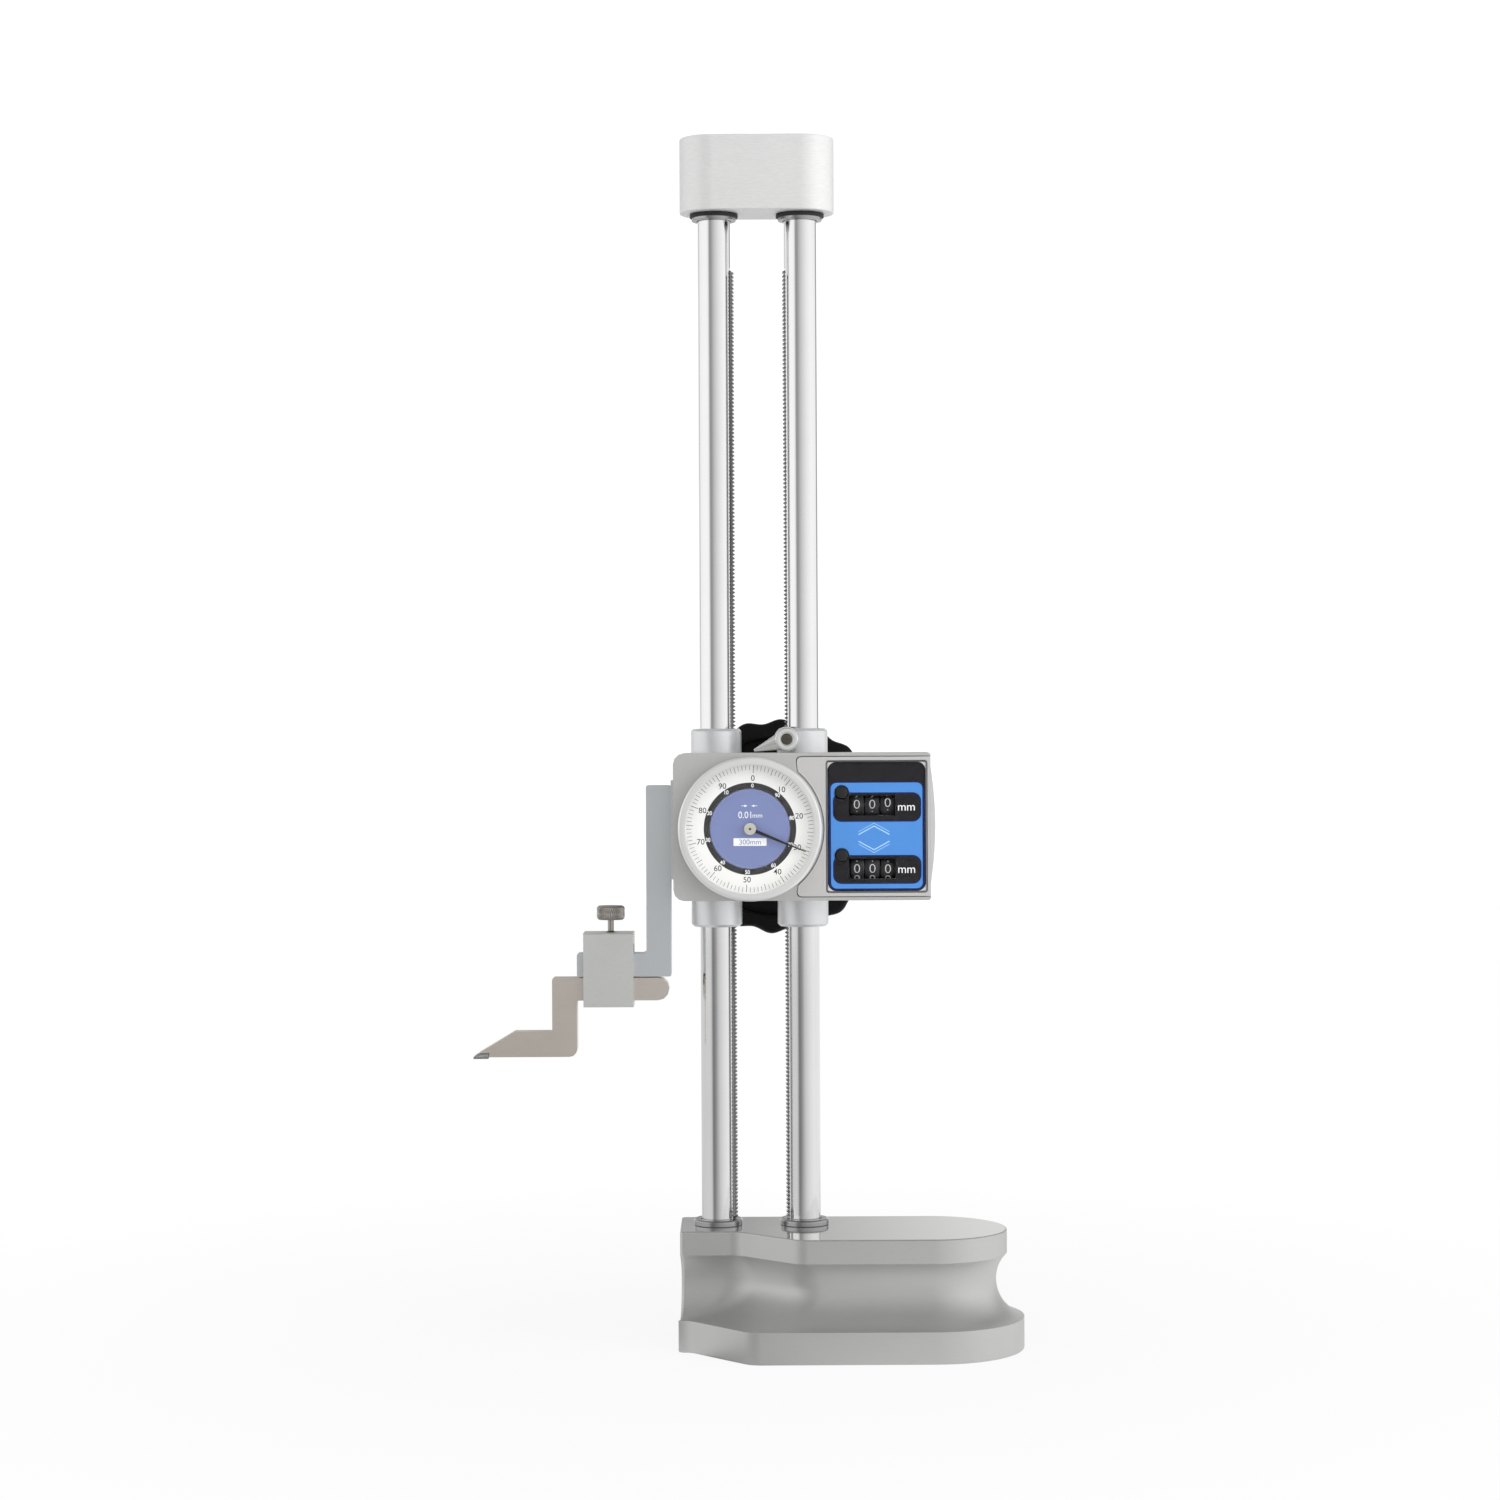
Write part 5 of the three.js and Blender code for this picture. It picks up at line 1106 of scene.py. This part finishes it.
button_black = finish("button_black", BUTTON_BLACK, rough=0.35, grain=0.06, smudge=0.06)
for row, places in ROWS.items():
    button_profile = rounded([
        (0, BUTTON_FRONT),
        (BUTTON_RADIUS, BUTTON_FRONT + BUTTON_DOME, BUTTON_ROUND),
        (BUTTON_RADIUS, BUTTON_BACK, BUTTON_BACK_EDGE, BUTTON_BACK_STEPS),
        (0, BUTTON_BACK),
    ], RING_STEPS)
    button = turned(button_profile, HOLE_SIDES, "y", BUTTON_X, places["button"])
    piece(
        f"{row}_black_button", button, button_black, "black_plastic", f"{row}_button",
        f"{row}_reset_button")


# Clamp: a die-cast lever with a round hub and a tapered handle, held by a cross-recessed
# screw through the right boss, which presses a brass pad against the column.
CLAMP_X = 0.0107
CLAMP_Z = 0.2381
CLAMP_HUB_RADIUS = 0.0045
CLAMP_HUB_FRONT = -0.016
CLAMP_HUB_BACK = -0.0113
CLAMP_HUB_EDGE = 0.0005
CLAMP_HEAD_RADIUS = 0.00225
CLAMP_HEAD_BACK = -0.0151
CLAMP_SHANK_RADIUS = 0.0015
CLAMP_SHANK_BACK = -0.0065
HANDLE_Y = -0.01365
HANDLE_START = 0.003
HANDLE_ROOT = 0.0033
HANDLE_FLAT = 0.7
HANDLE_TIP = 0.0005
HANDLE_LENGTH = 0.0135
HANDLE_DROP = math.radians(18.9)
RECESS_HALF_WIDTH = 0.00028
RECESS_REACH = 0.0014
RECESS_DEPTH = 0.0008
LEVER_SILVER = (0.88, 0.88, 0.87, 1)
SCREW_BROWN = (0.14, 0.125, 0.105, 1)

lever_silver = finish("lever_silver", LEVER_SILVER, rough=0.2, metal=0.85, grain=0.06, smudge=0.06)
screw_brown = finish("screw_brown", SCREW_BROWN, rough=0.34, metal=0.9, grain=0.15, smudge=0.15)
lever_hub = turned(rounded([
    (CLAMP_SHANK_RADIUS + FIT, CLAMP_HEAD_BACK),
    (CLAMP_HEAD_RADIUS + FIT, CLAMP_HEAD_BACK),
    (CLAMP_HEAD_RADIUS + FIT, CLAMP_HUB_FRONT, CLAMP_HUB_EDGE / 2),
    (CLAMP_HUB_RADIUS, CLAMP_HUB_FRONT, CLAMP_HUB_EDGE),
    (CLAMP_HUB_RADIUS, CLAMP_HUB_BACK, CLAMP_HUB_EDGE),
    (CLAMP_SHANK_RADIUS + FIT, CLAMP_HUB_BACK),
]), HOLE_SIDES, "y", CLAMP_X, CLAMP_Z)
handle = turned(rounded([
    (0, HANDLE_START),
    (HANDLE_ROOT, HANDLE_START),
    (HANDLE_TIP, HANDLE_LENGTH, HANDLE_TIP / 2),
    (0, HANDLE_LENGTH),
]), HOLE_SIDES, "x")
handle.transform(
    Matrix.Translation((CLAMP_X, HANDLE_Y, CLAMP_Z)) @ Matrix.Rotation(math.pi - HANDLE_DROP, 4, "Y")
    @ Matrix.Diagonal((1, HANDLE_FLAT, 1, 1)))
piece(
    "cast_clamp_lever", gathered([lever_hub, handle]), lever_silver, "aluminium", "clamp_handle",
    "clamp_lever")
clamp_head = turned(rounded([
    (0, CLAMP_HUB_FRONT),
    (CLAMP_HEAD_RADIUS, CLAMP_HUB_FRONT, CLAMP_HUB_EDGE),
    (CLAMP_HEAD_RADIUS, CLAMP_HEAD_BACK),
    (CLAMP_SHANK_RADIUS, CLAMP_HEAD_BACK),
    (CLAMP_SHANK_RADIUS, CLAMP_SHANK_BACK),
    (0, CLAMP_SHANK_BACK),
]), HOLE_SIDES, "y", CLAMP_X, CLAMP_Z)
clamp_cross = [
    slab(
        plain_box(CLAMP_X - across, CLAMP_X + across, CLAMP_Z - up, CLAMP_Z + up), CLAMP_HUB_FRONT - PAST,
        CLAMP_HUB_FRONT + RECESS_DEPTH, axis="y")
    for across, up in ((RECESS_REACH, RECESS_HALF_WIDTH), (RECESS_HALF_WIDTH, RECESS_REACH))]
piece(
    "cross_clamp_screw", carved(clamp_head, *clamp_cross), screw_brown, "dark_steel", "clamp_handle",
    "clamp_screw")
dressed(bush_brass, "brass", "clamp_pad")


# Feed: a black phenolic hand wheel with a lobed rim behind the carriage, moulded in one
# piece and fixed by a screw to a steel shaft whose pinion climbs the right rack.
FEED_X = 0.0069
FEED_Z = 0.2025
WHEEL_PEAK = 0.0436
WHEEL_WAVE = 0.0009
WHEEL_LOBES = 18
WHEEL_PHASE = math.radians(7)
WHEEL_SIDES = 288
WHEEL_FRONT = 0.033
WHEEL_BACK = 0.047
WHEEL_WEB_FRONT = 0.038
WHEEL_WEB_BACK = 0.042
WHEEL_RIM_INNER = 0.0358
WHEEL_HUB = 0.009
WHEEL_BORE = 0.00325
WHEEL_ROUND = 0.0028
WHEEL_FILLET = 0.0015
FEED_SCREW_EDGE = 0.0003
WHEEL_BLACK = (0.006, 0.0055, 0.0058, 1)


def lobes(angle, radius, along):
    """The waves of the hand wheel's rim, which fade towards its web."""
    share = min(1, max(0, (radius - WHEEL_RIM_INNER) / (WHEEL_PEAK - WHEEL_ROUND - WHEEL_RIM_INNER)))
    return share * WHEEL_WAVE * (math.cos(WHEEL_LOBES * (angle - WHEEL_PHASE)) - 1)


wheel_black = finish(
    "wheel_black", WHEEL_BLACK, rough=0.4, grain=0.12, smudge=0.1, depth=0.00002,
    Specular_IOR_Level=0.15)
wheel_front, wheel_back = [[
    (WHEEL_BORE, face), (WHEEL_HUB, face, WHEEL_FILLET), (WHEEL_HUB, web, WHEEL_FILLET),
    (WHEEL_RIM_INNER, web, WHEEL_FILLET), (WHEEL_RIM_INNER, face, WHEEL_FILLET),
    (WHEEL_PEAK, face, WHEEL_ROUND)] for face, web in (
        (WHEEL_FRONT, WHEEL_WEB_FRONT), (WHEEL_BACK, WHEEL_WEB_BACK))]
wheel = turned(
    rounded([*wheel_front, *reversed(wheel_back)]), WHEEL_SIDES, "y", FEED_X, FEED_Z, lobes)
piece("lobed_hand_wheel", wheel, wheel_black, "black_plastic", "feed", "feed_wheel")
dressed(works_steel, "steel", "feed_shaft")
dressed(black_steel, "dark_steel", "feed_wheel_screw", edge=FEED_SCREW_EDGE)


# Scriber clamp: a milled loop of aluminium round the arm's foot and the scriber. The thumb
# screw through its top wall draws it up, so that it holds the scriber against the arm.
LOOP_ALUMINIUM = (0.78, 0.79, 0.77, 1)
LOOP_LINES = (600, 600, 2500)
LOOP_EDGE = 0.0002

loop_aluminium = finish(
    "milled_loop", LOOP_ALUMINIUM, rough=0.4, metal=0.7, stretch=LOOP_LINES, grain=0.12, smudge=0.08)
dressed(loop_aluminium, "aluminium", "scriber_clamp", edge=LOOP_EDGE)


# Thumb screw: turned steel with a chamfered, diamond-knurled head and a thin neck, threaded
# through the loop's top wall so that it pulls the loop up.
THUMB_X = -0.059
THUMB_Y = 0.0005
THUMB_TIP = 0.1542
THUMB_SHOULDER = 0.1627
THUMB_HEAD_LOW = 0.16705
THUMB_HEAD_HIGH = 0.17255
THUMB_CHAMFER = 0.0007
THUMB_RADIUS = 0.0055
THUMB_NECK = 0.0012
THUMB_THREAD = 0.002
THREAD_PITCH = 0.0007
THREAD_DEPTH = 0.0004
KNURLS = 36
KNURL_DEPTH = 0.00032
KNURL_SIDES = 8
KNURL_SLANT = 650
KNURL_ROWS = 26
THUMB_STEEL = (0.43, 0.4, 0.37, 1)


def knurl(angle, radius, along):
    """Diamond knurling round the head: two crossing sets of grooves."""
    if radius < THUMB_RADIUS - TINY:
        return 0
    ways = [abs(math.sin(KNURLS * angle / 2 + way * KNURL_SLANT * along)) for way in (-1, 1)]
    return -KNURL_DEPTH * (1 - min(ways))


thumb_steel = finish("thumb_steel", THUMB_STEEL, rough=0.3, metal=0.95, grain=0.12, smudge=0.12)
thumb_profile = [(0, THUMB_TIP), (THUMB_THREAD - THREAD_DEPTH, THUMB_TIP)]
thread_height = THUMB_TIP + THREAD_PITCH / 2
while thread_height < THUMB_SHOULDER - THREAD_PITCH:
    thumb_profile.append((THUMB_THREAD, thread_height))
    thumb_profile.append((THUMB_THREAD - THREAD_DEPTH, thread_height + THREAD_PITCH / 2))
    thread_height += THREAD_PITCH
thumb_profile += [
    (THUMB_THREAD, THUMB_SHOULDER - THREAD_DEPTH), (THUMB_NECK, THUMB_SHOULDER),
    (THUMB_NECK, THUMB_HEAD_LOW), (THUMB_RADIUS - THUMB_CHAMFER, THUMB_HEAD_LOW)]
for knurl_row in range(KNURL_ROWS + 1):
    thumb_profile.append((THUMB_RADIUS, mix(
        THUMB_HEAD_LOW + THUMB_CHAMFER, THUMB_HEAD_HIGH - THUMB_CHAMFER, knurl_row / KNURL_ROWS)))
thumb_profile += [(THUMB_RADIUS - THUMB_CHAMFER, THUMB_HEAD_HIGH), (0, THUMB_HEAD_HIGH)]
thumb = turned(thumb_profile, KNURLS * KNURL_SIDES, across=THUMB_X, up=THUMB_Y, ripple=knurl)
piece("knurled_thumb_screw", thumb, thumb_steel, "steel", "thumb", "thumb_screw")


# Scriber: a cranked blade of hardened tool steel, ground on its flats and slightly brown
# from hardening, with a carbide edge brazed to its point.
SCRIBER_BROWN = (0.8, 0.73, 0.66, 1)
SCRIBER_LINES = (300, 600, 3000)
SCRIBER_EDGE = 0.0002
CARBIDE_GREY = (0.4, 0.4, 0.39, 1)

scriber_steel = finish(
    "hardened_scriber_steel", SCRIBER_BROWN, rough=0.36, metal=0.85, stretch=SCRIBER_LINES, grain=0.1,
    smudge=0.12)
carbide_grey = finish("carbide_grey", CARBIDE_GREY, rough=0.35, metal=0.4)
dressed(scriber_steel, "scriber_steel", "scriber", edge=SCRIBER_EDGE)
dressed(carbide_grey, "carbide", "carbide_tip")


# Floor: a plain matt white sheet that keeps a faint shadow round the foot. In the metal it
# shows in the room's tones, a little darker at the left than at the right.
FLOOR_REACH = 3
FLOOR_WHITE = (0.86, 0.86, 0.86, 1)
FLOOR_ROUGHNESS = 0.9

floor_mesh = bpy.data.meshes.new("floor")
floor_mesh.from_pydata(
    [(-FLOOR_REACH, -FLOOR_REACH, 0), (FLOOR_REACH, -FLOOR_REACH, 0), (FLOOR_REACH, FLOOR_REACH, 0),
     (-FLOOR_REACH, FLOOR_REACH, 0)], [], [(0, 1, 2, 3)])
floor = placed("floor", floor_mesh)
floor_white, floor_shader = principled(
    "floor_white", Base_Color=FLOOR_WHITE, Roughness=FLOOR_ROUGHNESS)
floor_tree = floor_white.node_tree


# Room: a pale studio whose darker gaps show as bands in the chrome. Each tone goes with a
# level direction, as a share of a turn: 0 is behind the object, 0.25 at its left, 0.5 in front.
ROOM_TONES = (
    (0.0, 0.4), (0.02, 0.5), (0.05, 0.9), (0.11, 0.9), (0.12, 0.4), (0.135, 0.4), (0.15, 0.92),
    (0.264, 1), (0.35, 1), (0.38, 0.9), (0.412, 0.3), (0.444, 0.34), (0.478, 0.5), (0.517, 0.64),
    (0.569, 0.78), (0.625, 0.9), (0.706, 1), (0.847, 0.95), (0.87, 0.35), (0.915, 0.35), (0.94, 0.95),
    (0.97, 1), (0.988, 0.8), (1.0, 0.42))
SHADOW_LEAST = 0.88
SHADOW_NEAR = 0.12
SHADOW_FAR = 0.45
FLOOR_SIDE = 0.15
LOW_LEFT = 0.72
LOW_RIGHT = 0.95
FLOOR_BACK = 0.4
HIGH_ROOM = 0.3
HIGH_START = 0.15
HIGH_END = 0.9
ROOM_STRENGTH = 1.1


def ranged(tree, value, low, high, start=0, end=1):
    """A value's share of the way from low to high, set between start and end."""
    return link(tree, "ShaderNodeMapRange", {
        "Value": value, "From Min": low, "From Max": high, "To Min": start, "To Max": end}).outputs[0]


def blended(tree, share, start, end):
    """A colour between two others."""
    return link(tree, "ShaderNodeMix", {0: share, 6: start, 7: end}, data_type="RGBA").outputs[2]


def seen_share(tree, *kinds):
    """1 for what the camera sees, also through clear pieces, and for the kinds of ray given."""
    path = link(tree, "ShaderNodeLightPath").outputs
    share = path["Is Camera Ray"]
    for kind in ("Is Transmission Ray", *kinds):
        share = worked(tree, "MAXIMUM", share, path[kind])
    return share


def room_group():
    """The room's tone in a level direction from the object."""
    group, given = node_group(
        "room tones", {"Way": "NodeSocketVector"}, {"Tone": "NodeSocketColor"})
    axes = link(group, "ShaderNodeSeparateXYZ", {0: given["Way"]}).outputs
    turn = worked(group, "ARCTAN2", axes["X"], worked(group, "MULTIPLY", axes["Y"], -1))
    ramp = link(group, "ShaderNodeValToRGB", {0: ranged(group, turn, -math.pi, math.pi)})
    stops = ramp.color_ramp.elements
    stops.remove(stops[-1])
    stops[0].position = ROOM_TONES[0][0]
    stops[0].color = (ROOM_TONES[0][1],) * 3 + (1,)
    for position, tone in ROOM_TONES[1:]:
        stops.new(position).color = (tone,) * 3 + (1,)
    height = ranged(group, axes["Z"], HIGH_START, HIGH_END, 1, HIGH_ROOM)
    link(group, "NodeGroupOutput", {"Tone": scaled(group, ramp.outputs[0], height)})
    return group


ROOM_GROUP = room_group()
floor_place = link(floor_tree, "ShaderNodeTexCoord").outputs["Object"]
floor_reach = link(floor_tree, "ShaderNodeVectorMath", {0: floor_place}, operation="LENGTH")
far_share = ranged(floor_tree, floor_reach.outputs["Value"], SHADOW_NEAR, SHADOW_FAR, SHADOW_LEAST)
white_share = worked(floor_tree, "MULTIPLY", far_share, seen_share(floor_tree, "Is Glossy Ray"))
floor_room = link(floor_tree, "ShaderNodeGroup", {"Way": floor_place}, node_tree=ROOM_GROUP)
floor_axes = link(floor_tree, "ShaderNodeSeparateXYZ", {0: floor_place}).outputs
low_share = ranged(floor_tree, floor_axes["X"], -FLOOR_SIDE, FLOOR_SIDE, LOW_LEFT, LOW_RIGHT)
back_share = ranged(floor_tree, floor_axes["Y"], 0, FLOOR_BACK)
low_room = scaled(
    floor_tree, blended(floor_tree, back_share, floor_room.outputs["Tone"], WHITE), low_share)
floor_tone = blended(floor_tree, seen_share(floor_tree), low_room, WHITE)
floor_glow = link(floor_tree, "ShaderNodeEmission", {"Color": floor_tone, "Strength": 1})
floor_mix = link(floor_tree, "ShaderNodeMixShader", {
    0: white_share, 1: floor_shader.outputs[0], 2: floor_glow.outputs[0]})
floor_tree.links.new(floor_mix.outputs[0], floor_tree.nodes["Material Output"].inputs["Surface"])
floor_mesh.materials.append(floor_white)

room = bpy.data.worlds.new("studio room")
bpy.context.scene.world = room
room.use_nodes = True
room_tree = room.node_tree
room_way = link(room_tree, "ShaderNodeTexCoord").outputs["Generated"]
room_tone = link(room_tree, "ShaderNodeGroup", {"Way": room_way}, node_tree=ROOM_GROUP)
room_colour = blended(room_tree, seen_share(room_tree), room_tone.outputs["Tone"], WHITE)
room_light = room_tree.nodes["Background"]
room_tree.links.new(room_colour, room_light.inputs["Color"])
room_light.inputs["Strength"].default_value = ROOM_STRENGTH


# Lamps: a wide soft lamp overhead, and a tall one at the right and in front. They give the
# light and the shadow but don't show in the metal, which mirrors only the room.
def lamp(name, place, aim, width, height, watts):
    """A soft rectangular lamp, turned to what it lights."""
    light = bpy.data.lights.new(name, "AREA")
    light.shape = "RECTANGLE"
    light.size = width
    light.size_y = height
    light.energy = watts
    made = placed(name, light)
    made.location = place
    made.rotation_euler = (Vector(aim) - Vector(place)).to_track_quat("-Z", "Y").to_euler()
    made.visible_glossy = False


lamp("overhead_softbox", place=(0.1, -0.6, 1.4), aim=(0.02, 0, 0.2), width=1.2, height=1.2, watts=7.5)
lamp("right_softbox", place=(1.1, -0.7, 0.5), aim=(0, 0, 0.22), width=0.6, height=1.2, watts=6.5)


# Camera: level with the carriage, 1.25 m in front of the columns and rolled very slightly. The
# lens is shifted down by 25 of the picture's 1500 lines.
CAMERA_X = -0.0036
CAMERA_Y = -1.25
CAMERA_Z = 0.2437
CAMERA_LENS = 75.9
CAMERA_SENSOR = 36
PICTURE_LINES = 1500
CAMERA_SHIFT = -25 / PICTURE_LINES
CAMERA_NEAR = 0.01
CAMERA_ROLL = math.radians(-0.27)

lens = bpy.data.cameras.new("camera")
lens.lens = CAMERA_LENS
lens.sensor_width = CAMERA_SENSOR
lens.shift_y = CAMERA_SHIFT
lens.clip_start = CAMERA_NEAR
camera = placed("camera", lens)
camera.matrix_world = (
    Matrix.Translation((CAMERA_X, CAMERA_Y, CAMERA_Z)) @ Matrix.Rotation(QUARTER, 4, "X")
    @ Matrix.Rotation(CAMERA_ROLL, 4, "Z"))
bpy.context.scene.camera = camera
bpy.context.scene.view_settings.view_transform = "Standard"
